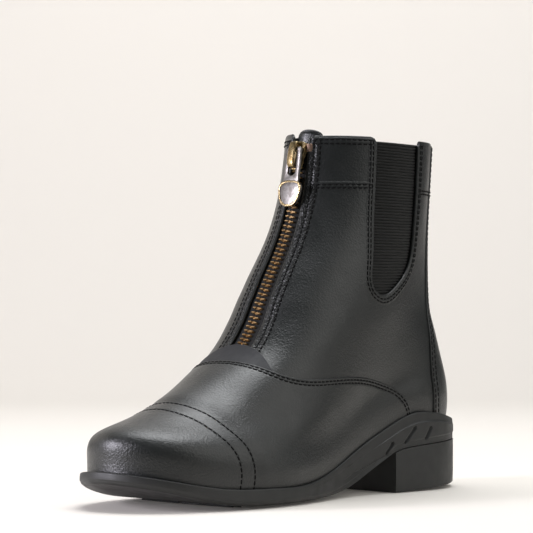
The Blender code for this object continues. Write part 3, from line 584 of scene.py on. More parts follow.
# Calf drummed to a heavy pebble for the bands beside the zip: black, its pebbles about 1.2 mm across
def pebbledLeather():
    made, tree, shader = newMaterial("pebbledLeather", {"IOR": 1.5, "Roughness": 0.42})
    coords = objectCoords(tree)
    pebbles = addNode(tree, "ShaderNodeTexVoronoi", {"feature": "SMOOTH_F1"}, {"Scale": 1000 / 1.2, "Smoothness": 0.3},
                      {"Vector": coords})
    addBump(tree, shader, pebbles.outputs["Distance"], 0.5, 0.9)
    tree.links.new(blend(tree, noiseAt(tree, coords, 1.6), "#090a0a", "#131514"), shader.inputs["Base Color"])
    return made


# Buffed matte calf for the patch under the zip: no polish, so it looks a shade bluer and flatter
def matteLeather():
    made, tree, shader = newMaterial("matteLeather", {"IOR": 1.45})
    coords = objectCoords(tree)
    addBump(tree, shader, noiseAt(tree, coords, 0.5), 0.05, 0.5)
    tree.links.new(blend(tree, noiseAt(tree, coords, 9), "#101116", "#16171b"), shader.inputs["Base Color"])
    tree.links.new(spread(tree, noiseAt(tree, coords, 4), 0.55, 0.66), shader.inputs["Roughness"])
    return made


# Injection-moulded TPR rubber: dull black with a fine spark-eroded mould skin, 0.4 mm between its pits
def mouldedRubber():
    made, tree, shader = newMaterial("mouldedRubber", {"IOR": 1.5})
    coords = objectCoords(tree)
    addBump(tree, shader, noiseAt(tree, coords, 0.5, 3.0), 0.05, 0.5)
    tree.links.new(blend(tree, noiseAt(tree, coords, 20, 3.0), "#191a1a", "#212221"), shader.inputs["Base Color"])
    tree.links.new(spread(tree, noiseAt(tree, coords, 7, 2.0), 0.46, 0.58), shader.inputs["Roughness"])
    return made


# Knitted elastic: rubber threads wrapped in brown-black polyester, wrap threads about 0.6 mm apart
def knittedElastic():
    made, tree, shader = newMaterial("knittedElastic", {"IOR": 1.45, "Sheen Weight": 0.05, "Sheen Roughness": 0.5})
    coords = objectCoords(tree)
    addBump(tree, shader, noiseAt(tree, coords, 0.5), 0.02, 0.4)
    tree.links.new(blend(tree, noiseAt(tree, coords, 0.8), "#111110", "#171716"), shader.inputs["Base Color"])
    shader.inputs["Roughness"].default_value = 0.85
    return made


# Woven polyester tape: black, a herringbone of threads about 0.5 mm apart
def wovenTape():
    made, tree, shader = newMaterial("wovenTape", {"IOR": 1.45, "Roughness": 0.9})
    coords = objectCoords(tree)
    heights = []
    for direction in ("X", "Z"):
        wave = addNode(tree, "ShaderNodeTexWave", {"bands_direction": direction},
                       {"Scale": 2 * math.pi / 20 * 1000 / 0.7, "Distortion": 0.6}, {"Vector": coords})
        heights.append(wave.outputs[1])
    weave = addNode(tree, "ShaderNodeMath", {"operation": "MULTIPLY"}, links={0: heights[0], 1: heights[1]})
    addBump(tree, shader, weave.outputs[0], 0.15, 0.8)
    tree.links.new(blend(tree, noiseAt(tree, coords, 3), "#0c0c0d", "#131314"), shader.inputs["Base Color"])
    return made


# A metal with a darker patina in patches: brass teeth and slider, nickel pull
def patinaMetal(name, bright, dark, size, roughLow, roughHigh):
    made, tree, shader = newMaterial(name, {"Metallic": 1.0})
    coords = objectCoords(tree)
    patches = noiseAt(tree, coords, size, 3.0)
    tree.links.new(blend(tree, spread(tree, patches, 0, 1, 0.35, 0.65), bright, dark), shader.inputs["Base Color"])
    tree.links.new(spread(tree, patches, roughLow, roughHigh), shader.inputs["Roughness"])
    addBump(tree, shader, noiseAt(tree, coords, 0.6), 0.03, 0.4)
    return made


# Waxed bonded nylon thread: black, and painted darker still to stand for the shade in the holes the stitches sink into;
# slightly shiny along its twist, 0.5 mm between turns
def waxedThreadWithPaintedShade():
    made, tree, shader = newMaterial("waxedThreadWithPaintedShade", {"IOR": 1.3, "Roughness": 0.8})
    coords = objectCoords(tree)
    addBump(tree, shader, noiseAt(tree, coords, 0.4), 0.08, 0.6)
    # Both colours near black: the thread's own black plus painted shade of the stitch holes
    tree.links.new(blend(tree, noiseAt(tree, coords, 5), "#020202", "#060606"), shader.inputs["Base Color"])
    return made


# Brushed textile lining, dark grey: a soft nap about 0.8 mm across
def liningCloth():
    made, tree, shader = newMaterial("liningCloth", {"IOR": 1.45, "Roughness": 0.9, "Sheen Weight": 0.3,
                                                     "Sheen Roughness": 0.4})
    coords = objectCoords(tree)
    addBump(tree, shader, noiseAt(tree, coords, 0.8, 3.0), 0.15, 0.6)
    tree.links.new(blend(tree, noiseAt(tree, coords, 6, 3.0), "#161617", "#1f1f20"), shader.inputs["Base Color"])
    return made


leather = calfLeather()
bandLeather = pebbledLeather()
patchLeather = matteLeather()
rubber = mouldedRubber()
elastic = knittedElastic()
tape = wovenTape()
thread = waxedThreadWithPaintedShade()
lining = liningCloth()
teethBrass = patinaMetal("agedBrassTeeth", "#ecc793", "#a98558", 1.2, 0.28, 0.45)
sliderBrass = patinaMetal("antiqueBrass", "#b5a279", "#6a573a", 2.2, 0.24, 0.4)
pullNickel = patinaMetal("wornNickel", "#8a8784", "#625e5a", 2.6, 0.3, 0.46)
pullRim = patinaMetal("rubbedRim", "#c2ad88", "#92805f", 1.8, 0.22, 0.36)
stopNickel = patinaMetal("nickelStop", "#bfa08c", "#8f7664", 1.5, 0.25, 0.4)
print("materials done")

nearEdge = (0, 0.05, 0.14, 0.28, 0.45, 0.65, 0.9, 1.2, 1.5, 1.8, 2.1, 2.5, 2.9, 3.3, 3.7, 4.2, 5.0)
hiddenEdge = (0, 1.5)


# The wall of the upper, with its notches for the gores and its slot for the zip
upper = {
    "columns": 420,
    "lowRows": 21,
    "highRows": 96,
    "innerRows": 23,
    "zipBottom": 79 * mm,
    "backDrop": 1.7 * mm,
    "goreCorner": 3.2 * mm,
    "strapCorner": 1.8 * mm,
    "zipCorner": {1: 3.4 * mm, -1: 1.8 * mm},
    "innerRise": 1.5 * mm,
}
zipOpening = ((60, 10.0), (85, 9.0), (107, 8.0), (150, 6.9), (190, 6.5), (230, 6.5))   # height, half-width in mm
bootPieces = []
stitchRows = []


# How much lower the collar is than at the zip
def collarDrop(along):
    share = np.clip((0.40 - along / last["soleLength"]) / 0.2, 0, 1)
    return upper["backDrop"] * share * share * (3 - 2 * share)


# The skin's v at the collar's top, lowered by a distance
def collarRow(u, down=0.0):
    top = skinAt(u, topRow)
    rise = (top[..., 2] - skinAt(u, topRow - 0.1)[..., 2]) / 0.1
    share = np.where(u > 0.5, np.clip((0.64 - u) / 0.08, 0, 1), 0)
    extra = upper["innerRise"] * share * share * (3 - 2 * share)
    return topRow - (collarDrop(top[..., 1]) - extra + down) / rise


# How far a straight edge swings aside near the collar to end in a round corner
def cornerFlare(z, top, radius):
    t = np.clip((z - top + radius) / radius, 0, 1)
    return radius * (1 - np.sqrt(1 - t * t))


# The gore's notch seen from the side, from its rear top down and up to its front top
def goreLine():
    along, z = sideCurve("gore", 200).T
    front = along > 0.27 * last["soleLength"]
    radius = np.where(front, upper["goreCorner"], upper["strapCorner"])
    flare = cornerFlare(z, last["collarHeight"] - collarDrop(along), radius)
    return np.stack([along + np.where(front, flare, -flare), z], 1)


def zipHalf(z, side):
    heights, halves = np.array(zipOpening).T * mm
    top = last["collarHeight"] + (upper["innerRise"] if side < 0 else 0)
    return np.interp(z, heights, halves) + cornerFlare(z, top, upper["zipCorner"][side])


# A cutter: an outline of (along, z) run along X, of (x, z) run along Y, or of (x, along) run along Z
def prismCutter(name, outline, axis, low, high):
    points = []
    for level in (low, high):
        for a, b in outline:
            points.append({"X": (level, a, b), "Y": (a, level, b), "Z": (a, b, level)}[axis])
    count = len(outline)
    faces = [list(range(count)), list(range(2 * count - 1, count - 1, -1))]
    for k in range(count):
        after = (k + 1) % count
        faces.append([k, k + count, after + count, after])
    mesh = bpy.data.meshes.new(name)
    mesh.from_pydata(toWorld(np.array(points)).tolist(), [], faces)
    made = bpy.data.objects.new(name, mesh)
    bpy.context.scene.collection.objects.link(made)
    return facingOut(made)


# Make what the modifiers give the piece's own mesh
def bakeModifiers(piece):
    bpy.context.view_layer.update()
    depsgraph = bpy.context.evaluated_depsgraph_get()
    mesh = bpy.data.meshes.new_from_object(piece.evaluated_get(depsgraph))
    old = piece.data
    piece.modifiers.clear()
    piece.data = mesh
    bpy.data.meshes.remove(old)


def combine(piece, other, operation):
    step = piece.modifiers.new("combine", "BOOLEAN")
    step.operation = operation
    step.solver = "EXACT"
    step.object = other
    bakeModifiers(piece)
    bpy.data.objects.remove(other)


def makeUpperWall():
    columns = np.arange(upper["columns"]) / upper["columns"]
    half = last["wall"] / 2
    reach = collarRow(columns, half)
    share = np.concatenate((np.linspace(0, 0.52, upper["lowRows"], endpoint=False),
                            np.linspace(0.52, 1, upper["highRows"])))
    gridV = share[:, None] * reach[None, :]
    gridU = np.repeat(columns[None, :], len(share), 0)
    outer = liftedSkin(gridU, gridV, np.zeros(gridU.shape))
    rim = []
    for angle in np.linspace(0, math.pi, 9)[1:-1]:
        ring = liftedSkin(columns, reach, np.full(len(columns), -half + half * math.cos(angle)))
        ring[:, 2] += half * math.sin(angle)
        rim.append(ring)
    innerShare = np.linspace(1, 0, upper["innerRows"])
    gridV = innerShare[:, None] * reach[None, :]
    gridU = np.repeat(columns[None, :], len(innerShare), 0)
    inner = liftedSkin(gridU, gridV, np.full(gridU.shape, -last["wall"]))
    inner[0][:, 2] = outer[-1][:, 2]
    inner[-1][:, 2] = outer[0][:, 2]
    stack = np.concatenate([outer, np.array(rim), inner])
    count = len(columns)
    base = (len(stack) - 1) * count
    here = np.arange(count)
    after = (here + 1) % count
    faces = np.concatenate([gridFaces(len(stack), count, wrap=True),
                            np.stack([here + base, after + base, after, here], 1)])
    slots = np.zeros(len(faces), int)
    slots[(len(outer) + len(rim)) * count:] = 1
    made = meshObject("upperWall", stack.reshape(-1, 3), faces, [leather, lining], slots, smooth=None)
    facingOut(made)
    wide = last["shaftWidth"]
    combine(made, prismCutter("goreCutter", goreLine(), "X", -wide, wide), "DIFFERENCE")
    heights = np.linspace(upper["zipBottom"], last["collarHeight"] + 20 * mm, 90)
    slot = [(zipHalf(z, 1), z) for z in heights] + [(-zipHalf(z, -1), z) for z in heights[::-1]]
    length = last["soleLength"]
    combine(made, prismCutter("zipCutter", slot, "Y", 0.28 * length, length), "DIFFERENCE")
    made.data.set_sharp_from_angle(angle=math.radians(45))
    return made


# World normals of the skin along a path
def skinNormals(u, v):
    normal = skinFrame(u, v)[1]
    return np.stack([normal[..., 0], -normal[..., 1], normal[..., 2]], -1)


# A closed tube round world points, its ends rounded off by smaller rings
def sweepTube(name, centres, normals, radius, finish, sides=10):
    run = np.gradient(centres, axis=0)
    run /= np.linalg.norm(run, axis=1)[:, None]
    across = np.cross(normals, run)
    across /= np.linalg.norm(across, axis=1)[:, None]
    outward = np.cross(run, across)
    angles = np.arange(sides) / sides * 2 * math.pi
    size = np.full(len(centres), radius)
    size[0] = size[-1] = 0.45 * radius
    rings = [centres + size[:, None] * (math.cos(a) * across + math.sin(a) * outward) for a in angles]
    stack = np.stack(rings, 1)
    faces = [list(face) for face in gridFaces(len(stack), sides, wrap=True).tolist()]
    base = (len(stack) - 1) * sides
    faces += [list(range(sides)), [base + k for k in range(sides)]]
    mesh = bpy.data.meshes.new(name)
    mesh.from_pydata(stack.reshape(-1, 3).tolist(), [], faces)
    mesh.materials.append(finish)
    mesh.shade_smooth()
    made = bpy.data.objects.new(name, mesh)
    bpy.context.scene.collection.objects.link(made)
    return facingOut(made)


# Several objects as one, their places in its mesh
def joinPieces(name, pieces):
    bm = bmesh.new()
    finishes = []
    for piece in pieces:
        start = len(bm.faces)
        slots = []
        for finish in piece.data.materials:
            if finish not in finishes:
                finishes.append(finish)
            slots.append(finishes.index(finish))
        bm.from_mesh(piece.data)
        bm.faces.ensure_lookup_table()
        for face in bm.faces[start:]:
            face.material_index = slots[min(face.material_index, len(slots) - 1)]
    mesh = bpy.data.meshes.new(name)
    bm.to_mesh(mesh)
    bm.free()
    for finish in finishes:
        mesh.materials.append(finish)
    made = bpy.data.objects.new(name, mesh)
    bpy.context.scene.collection.objects.link(made)
    for piece in pieces:
        bpy.data.objects.remove(piece)
    return made


# The folded edge of a cut-out in the wall
def edgeBead(name, path, radius, depth):
    path = resampled(path, 1.2 * mm)
    centres = liftedSkin(path[:, 0], path[:, 1], np.full(len(path), -depth))
    return sweepTube(name, centres, skinNormals(path[:, 0], path[:, 1]), radius, leather)


# Skin coordinates up the front of the shaft where |x| is what a function of height says
def frontPath(side, halfAt, low, high):
    rows = np.linspace(4.5, topRow + 0.3, 560)
    lineU, lineV = np.meshgrid(np.linspace(0.5, 0.5 - side * 0.16, 260), rows)
    found, ok = crossing(lineU, lineV, lambda p: np.abs(p[..., 0]) - halfAt(p[..., 2]))
    height = skinAt(found[:, 0], found[:, 1])[:, 2]
    return found[ok & (height >= low) & (height <= high)]


# A level line round part of the shaft, from one u to another
def levelPath(uFrom, uTo, levelAt):
    columns = np.linspace(uFrom, uTo, 240)
    found, ok = columnCrossing(columns, 7.0, topRow, lambda p: p[..., 2] - levelAt(p[..., 1]))
    return found[ok]


# A stitched band of leather along a path. Offsets and lifts are in mm; the leather puckers between stitches
def bandAlong(name, path, turn, offsets, lifts, grooves, pucker=0.05, depth=0.22, finish=leather):
    path = resampled(path, 0.8 * mm)
    offsets = np.asarray(offsets, float)
    lift = np.asarray(lifts, float)
    near = np.zeros(len(offsets))
    for row in grooves:
        lift = lift - depth * np.exp(-((offsets - row) / 0.42) ** 2)
        near = np.maximum(near, np.exp(-((offsets - row) / 1.1) ** 2))
    columns = []
    here = shiftOnSkin(path, turn * offsets[0] * mm) if offsets[0] else path
    at = offsets[0]
    for offset in offsets:
        if offset > at:
            here = shiftOnSkin(here, turn * (offset - at) * mm)
        at = offset
        columns.append(here)
    grid = np.stack(columns, 1)
    walk = np.arange(len(path)) * 0.8
    wave = np.cos(walk * 2 * math.pi / stitching["pitch"])[:, None] * near[None, :] * pucker
    lift = (lift[None, :] + wave) * mm
    outer = liftedSkin(grid[..., 0], grid[..., 1], lift)
    inner = liftedSkin(grid[..., 0], grid[..., 1], np.full(lift.shape, -0.5 * mm))
    return closedSheet(name, outer, inner, [finish])


stitching = {"pitch": 3.0, "length": 2.3, "width": 0.98, "rise": 0.48}   # all in mm


# A row of stitches beside a path, at a distance to the left of its run and at a height, both in mm
def addStitches(path, distance, lift):
    row = shiftOnSkin(path, distance * mm) if distance else path
    stitchRows.append((resampled(row, 1.0 * mm), lift * mm))


# The part of a path that lies a distance below the collar's top
def belowCollar(path, distance):
    point = skinAt(path[:, 0], path[:, 1])
    return path[point[:, 2] < last["collarHeight"] - collarDrop(point[:, 1]) - distance]


# The u at which a path that climbs passes a height
def columnAt(path, height):
    return float(np.interp(height, skinAt(path[:, 0], path[:, 1])[:, 2], path[:, 0]))


upperPiece = makeUpperWall()
collar = last["collarHeight"]
goreEdges = {}
zipEdges = {}
beads = []
bands = []
edgeOffsets = (0.2, 0.5, 0.8, 1.1, 1.3, 1.5, 1.7, 2.0, 2.3, 2.6, 2.9, 3.1, 3.3, 3.5, 3.8, 4.2, 4.7, 5.2)
edgeLifts = (0.0, 0.12, 0.2, 0.24, 0.24, 0.24, 0.24, 0.24, 0.24, 0.24, 0.24, 0.24, 0.22, 0.2, 0.14, 0.06, -0.02, -0.12)
zipOffsets = (0.2, 0.5, 0.9, 1.3, 1.8, 2.2, 2.5, 2.8, 3.0, 3.2, 3.5, 3.9, 4.3, 4.8, 5.3, 5.6, 5.9, 6.1, 6.3, 6.6,
              7.0, 7.5)
zipLifts = (0.15, 0.3, 0.4, 0.42, 0.36, 0.28, 0.22, 0.18, 0.16, 0.18, 0.24, 0.32, 0.36, 0.34, 0.26, 0.2, 0.16,
            0.14, 0.12, 0.08, 0.0, -0.12)
for side in (1, -1):
    outline = goreLine()
    top = collar - collarDrop(outline[:, 0]) - 1.3 * mm
    goreEdges[side] = findOnSkin(outline[outline[:, 1] < top], side)
    beads.append(edgeBead("goreFold", goreEdges[side], 0.98 * mm, 0.92 * mm))
    goreRun = belowCollar(goreEdges[side], 2.5 * mm)
    high = collar - mm if side > 0 else collar + upper["innerRise"] - mm
    zipEdges[side] = frontPath(side, lambda z: zipHalf(z, side), upper["zipBottom"] + mm, high)
    beads.append(edgeBead("zipFold", zipEdges[side], 1.1 * mm, 0.85 * mm))
    zipRun = belowCollar(zipEdges[side], 2.8 * mm)
    bands.append(bandAlong("goreBand", goreRun, -side, edgeOffsets, edgeLifts, (1.4, 3.2)))
    bands.append(bandAlong("zipBand", zipRun, side, zipOffsets, zipLifts, (3.0, 6.2), 0.05, 0.2, bandLeather))
    for row in (1.4, 3.2):
        addStitches(goreRun, -side * row, 0.1)
    for row in (3.0, 6.2):
        addStitches(zipRun, side * row, 0.12)
    front = goreRun[-1, 0]
    zipU = zipRun[-1, 0]
    inward = side * 0.012
    for down in (2.4, 4.6):
        path = levelPath(front + inward, zipU - inward, lambda a: collar - collarDrop(a) - down * mm)
        addStitches(path, 0, 0.1)
    strip = levelPath(front + side * 0.004, zipU - side * 0.004, lambda a: collar - collarDrop(a) - 0.9 * mm)
    bands.append(bandAlong("collarBand", strip, -side, edgeOffsets, edgeLifts, (1.5, 3.7)))
    level = 170.6 * mm
    fore = goreRun[np.argmin(skinAt(goreRun[:, 0], goreRun[:, 1])[:, 2]):]
    seam = levelPath(columnAt(fore, level) + side * 0.010, columnAt(zipRun, level) - side * 0.013,
                     lambda a: level + 0 * a)
    offsets = (-1.2, -0.8, -0.4, -0.1, 0.2, 0.5, 0.8, 1.1, 1.5, 1.9, 2.3, 2.6, 2.9, 3.2, 3.6, 4.1, 4.6)
    lifts = (-0.12, 0.06, 0.16, 0.2, 0.2, 0.2, 0.2, 0.18, 0.18, 0.18, 0.18, 0.16, 0.14, 0.1, 0.04, -0.02, -0.12)
    bands.append(bandAlong("collarSeam", seam, -side, offsets, lifts, (0.8, 2.6)))
    for row in (0.8, 2.6):
        addStitches(seam, -side * row, 0.08)
upperPiece = joinPieces("upperShell", [upperPiece] + beads + bands)
print("upper done", len(upperPiece.data.polygons))

# Vamp, toe cap, patch and backstay, thicknesses and stitch grooves in mm
overlays = {"vamp": 1.1, "cap": 0.9, "patch": 0.7, "backstay": 1.1, "groove": 0.3}


# The vamp thins out towards the cap's seam and ends inside the wall under it
def underCap(points, lift):
    behind = capTest(points) / mm
    rise = np.clip((behind + 1) / 9, 0, 1)
    lift = 0.15 * mm + (lift - 0.15 * mm) * rise * rise * (3 - 2 * rise)
    return lift - 0.55 * mm * np.clip((-2.5 - behind) / 2, 0, 1)


def makeVamp():
    columns = np.linspace(0.06, 0.94, 1100)
    top, found = columnCrossing(columns, 0.0, 8.5, vampTest)
    low, seated = columnCrossing(columns, -0.2, 8.5, cupTest)
    keep = found & (top[:, 1] > low[:, 1] + 0.03)
    top, low = top[keep], low[keep]
    pick = np.unique(np.linspace(0, len(top) - 1, 400).round().astype(int))
    grid = crossGrid(low[pick], top[pick], hiddenEdge, nearEdge, 92)
    seam = liftedSkin(top[:, 0], top[:, 1], np.zeros(len(top)))
    g = overlays["groove"]
    made = layPanel("vampPanel", grid, [seam], overlays["vamp"] * mm, [(1.6, 0.42, g), (3.3, 0.42, g)], leather,
                    sink=underCap)
    for row in (1.6, 3.3):
        addStitches(top, -row, overlays["vamp"] - g + 0.1)
    return made, top


def makeCap():
    columns = np.linspace(0.22, 0.78, 1300)
    seam, found = columnCrossing(columns, -0.2, 8.5, capTest, 0.07)
    low, seated = columnCrossing(columns, -0.2, 8.5, cupTest, 0.07)
    keep = found & (seam[:, 1] > low[:, 1] + 0.01)
    seam, low = seam[keep], low[keep]
    pick = np.unique(np.linspace(0, len(seam) - 1, 430).round().astype(int))
    near = nearEdge + (5.8, 6.8, 7.8, 8.7, 9.2, 9.5, 9.8, 10.1, 10.4, 10.9, 11.6, 12.6)
    grid = crossGrid(low[pick], seam[pick], hiddenEdge, near, 26)
    edge = liftedSkin(seam[:, 0], seam[:, 1], np.zeros(len(seam)))
    g = overlays["groove"]
    made = layPanel("toeCapPanel", grid, [edge], overlays["cap"] * mm, [(1.2, 0.42, g), (9.8, 0.42, g)], leather)
    for row in (1.2, 9.8):
        addStitches(seam, -row, overlays["cap"] - g + 0.1)
    return made


def makePatch():
    columns = np.linspace(0.3, 0.7, 900)
    low, found = columnCrossing(columns, 3.0, 9.0, vampTest)
    top, ahead = columnCrossing(columns, 3.0, 9.5, patchTest)
    keep = found & ahead & (top[:, 1] > low[:, 1] + 0.01)
    low, top = low[keep], top[keep]
    under = low - np.array([0, 0.12])
    pick = np.unique(np.linspace(0, len(top) - 1, 260).round().astype(int))
    grid = crossGrid(under[pick], top[pick], hiddenEdge, nearEdge[:12], 12)
    seam = liftedSkin(top[:, 0], top[:, 1], np.zeros(len(top)))
    return layPanel("patchPanel", grid, [seam], overlays["patch"] * mm, [], patchLeather)


def makeBackstay():
    edge = sideCurve("backstay", 200)[::-1]

    def test(points):
        return points[..., 1] - np.interp(points[..., 2], edge[:, 1], edge[:, 0])

    sides = []
    for sign in (-1, 1):
        high = float(collarRow(0.0, 1.1 * mm))
        lineV, lineU = np.meshgrid(np.linspace(0.35, high, 260), np.linspace(0, 0.22 * sign, 500), indexing="ij")
        sides.append(crossing(lineU, lineV, test)[0])
    grid = crossGrid(sides[0], sides[1], nearEdge, nearEdge, 44)
    seams = [liftedSkin(side[:, 0], side[:, 1], np.zeros(len(side))) for side in sides]
    topLine = grid[-1]
    seams.append(liftedSkin(topLine[:, 0], topLine[:, 1], np.zeros(len(topLine))))
    g = overlays["groove"]
    made = layPanel("backstayPanel", grid, seams, overlays["backstay"] * mm, [(1.3, 0.42, g), (4.2, 0.42, g)],
                    leather)
    lift = overlays["backstay"] - g + 0.1
    for side, sign in zip(sides, (-1, 1)):
        for row in (1.3, 4.2):
            addStitches(belowCollar(side, 3.2 * mm), sign * row, lift)
    for level in (167.6, 165.8):
        rear = [goreEdges[side][0, 0] for side in (1, -1)]
        path = levelPath(rear[1] - 1 + 0.02, rear[0] - 0.02, lambda a: level * mm + 0 * a)
        point = skinAt(path[:, 0], path[:, 1])
        on = point[:, 1] < np.interp(level * mm, edge[:, 1], edge[:, 0]) - 0.5 * mm
        addStitches(path[on], 0, overlays["backstay"] + 0.05)
        for part in (path[~on & (point[:, 0] > 0)], path[~on & (point[:, 0] < 0)]):
            if len(part) > 8:
                addStitches(part, 0, 0.1)
    return made


vampPiece, vampTop = makeVamp()
capPiece = makeCap()
patchPiece = makePatch()
backstayPiece = makeBackstay()
print("overlays done")


# Paths on the skin as loose edges that keep the skin's normal: rows of (path, lift)
def pathMesh(name, rows):
    points, lines, normals = [], [], []
    for path, lift in rows:
        start = len(points)
        points.extend(liftedSkin(path[:, 0], path[:, 1], np.full(len(path), lift)).tolist())
        normals.extend(skinNormals(path[:, 0], path[:, 1]).tolist())
        lines.extend([(start + k, start + k + 1) for k in range(len(path) - 1)])
    mesh = bpy.data.meshes.new(name)
    mesh.from_pydata(points, lines, [])
    mesh.attributes.new("skinNormal", "FLOAT_VECTOR", "POINT")
    mesh.attributes["skinNormal"].data.foreach_set("vector", np.array(normals).ravel())
    made = bpy.data.objects.new(name, mesh)
    bpy.context.scene.collection.objects.link(made)
    return made


# A Geometry Nodes group with named inputs
def nodeGroup(name, sockets):
    tree = bpy.data.node_groups.new(name, "GeometryNodeTree")
    tree.interface.new_socket("Geometry", in_out="INPUT", socket_type="NodeSocketGeometry")
    for label, kind in sockets:
        tree.interface.new_socket(label, in_out="INPUT", socket_type=kind)
    tree.interface.new_socket("Geometry", in_out="OUTPUT", socket_type="NodeSocketGeometry")
    return tree, addNode(tree, "NodeGroupInput"), addNode(tree, "NodeGroupOutput")


# Run a Geometry Nodes group on a piece and keep its result as a plain mesh
def runNodes(piece, tree, values, smooth=True):
    step = piece.modifiers.new(tree.name, "NODES")
    step.node_group = tree
    for item in tree.interface.items_tree:
        if item.in_out == "INPUT" and item.name in values:
            step[item.identifier] = values[item.name]
    bakeModifiers(piece)
    if smooth:
        piece.data.shade_smooth()
    return piece


# Cords of one radius along every path
def cordGroup():
    tree, start, end = nodeGroup("cordsAlongPaths", [("Radius", "NodeSocketFloat"), ("Sides", "NodeSocketInt"),
                                                     ("Material", "NodeSocketMaterial")])
    curves = addNode(tree, "GeometryNodeMeshToCurve", links={"Mesh": start.outputs["Geometry"]})
    ring = addNode(tree, "GeometryNodeCurvePrimitiveCircle",
                   links={"Radius": start.outputs["Radius"], "Resolution": start.outputs["Sides"]})
    swept = addNode(tree, "GeometryNodeCurveToMesh", values={"Fill Caps": True},
                    links={"Curve": curves.outputs["Curve"], "Profile Curve": ring.outputs["Curve"]})
    real = addNode(tree, "GeometryNodeRealizeInstances", links={"Geometry": swept.outputs["Mesh"]})
    done = addNode(tree, "GeometryNodeSetMaterial",
                   links={"Geometry": real.outputs["Geometry"], "Material": start.outputs["Material"]})
    tree.links.new(done.outputs["Geometry"], end.inputs["Geometry"])
    return tree


# One piece set again and again along every path, standing on the skin
def repeatGroup():
    tree, start, end = nodeGroup("piecesAlongPaths", [("Piece", "NodeSocketObject"), ("Pitch", "NodeSocketFloat"),
                                                      ("Turn", "NodeSocketFloat"), ("Seed", "NodeSocketInt"),
                                                      ("Material", "NodeSocketMaterial")])
    curves = addNode(tree, "GeometryNodeMeshToCurve", links={"Mesh": start.outputs["Geometry"]})
    spaced = addNode(tree, "GeometryNodeResampleCurve", {"mode": "LENGTH"},
                     links={"Curve": curves.outputs["Curve"], "Length": start.outputs["Pitch"]})
    normal = addNode(tree, "GeometryNodeInputNamedAttribute", {"data_type": "FLOAT_VECTOR"}, {"Name": "skinNormal"})
    run = addNode(tree, "GeometryNodeInputTangent")
    turned = addNode(tree, "FunctionNodeAxesToRotation", {"primary_axis": "Z", "secondary_axis": "Y"},
                     links={"Primary Axis": normal.outputs["Attribute"], "Secondary Axis": run.outputs["Tangent"]})
    least = addNode(tree, "ShaderNodeMath", {"operation": "MULTIPLY"}, {1: -1.0}, {0: start.outputs["Turn"]})
    chance = addNode(tree, "FunctionNodeRandomValue", {"data_type": "FLOAT"},
                     links={"Min": least.outputs["Value"], "Max": start.outputs["Turn"],
                            "Seed": start.outputs["Seed"]})
    sway = addNode(tree, "FunctionNodeAxisAngleToRotation", values={"Axis": (0, 0, 1)})
    tree.links.new(chance.outputs[1], sway.inputs["Angle"])
    both = addNode(tree, "FunctionNodeRotateRotation", {"rotation_space": "LOCAL"},
                   links={"Rotation": turned.outputs["Rotation"], "Rotate By": sway.outputs["Rotation"]})
    shape = addNode(tree, "GeometryNodeObjectInfo", links={"Object": start.outputs["Piece"]})
    placed = addNode(tree, "GeometryNodeInstanceOnPoints",
                     links={"Points": spaced.outputs["Curve"], "Instance": shape.outputs["Geometry"],
                            "Rotation": both.outputs["Rotation"]})
    real = addNode(tree, "GeometryNodeRealizeInstances", links={"Geometry": placed.outputs["Instances"]})
    done = addNode(tree, "GeometryNodeSetMaterial",
                   links={"Geometry": real.outputs["Geometry"], "Material": start.outputs["Material"]})
    tree.links.new(done.outputs["Geometry"], end.inputs["Geometry"])
    return tree


cordTree = cordGroup()
repeatTree = repeatGroup()


# A short rod with soft ends, lying along Y with its middle at the origin: rings of (y, size)
def rod(name, rings, width, rise, sides):
    points = []
    for y, size in rings:
        for k in range(sides):
            a = 2 * math.pi * k / sides
            points.append((size * width / 2 * math.cos(a), y, size * rise * math.sin(a)))
    faces = gridFaces(len(rings), sides, wrap=True).tolist()
    base = (len(rings) - 1) * sides
    faces += [list(range(sides)), [base + k for k in range(sides)]]
    mesh = bpy.data.meshes.new(name)
    mesh.from_pydata(points, [], faces)
    made = bpy.data.objects.new(name, mesh)
    bpy.context.scene.collection.objects.link(made)
    return facingOut(made)


def makeStitches():
    half = stitching["length"] / 2 * mm
    one = rod("oneStitch", [(-half, 0.35), (-0.7 * half, 0.9), (0.7 * half, 0.9), (half, 0.35)],
              stitching["width"] * mm, stitching["rise"] * mm, 6)
    piece = pathMesh("seamStitches", stitchRows)
    runNodes(piece, repeatTree, {"Piece": one, "Pitch": stitching["pitch"] * mm, "Turn": 0.09, "Seed": 4,
                                 "Material": thread})
    bpy.data.objects.remove(one)
    return piece


stitchPiece = makeStitches()
print("stitches done", len(stitchPiece.data.polygons))

# Elastic gores: a thin sheet with ribs across
gore = {"thick": 1.4 * mm, "reach": 6 * mm, "ribPitch": 1.63 * mm, "ribRadius": 0.66 * mm, "topGap": 2.2 * mm}


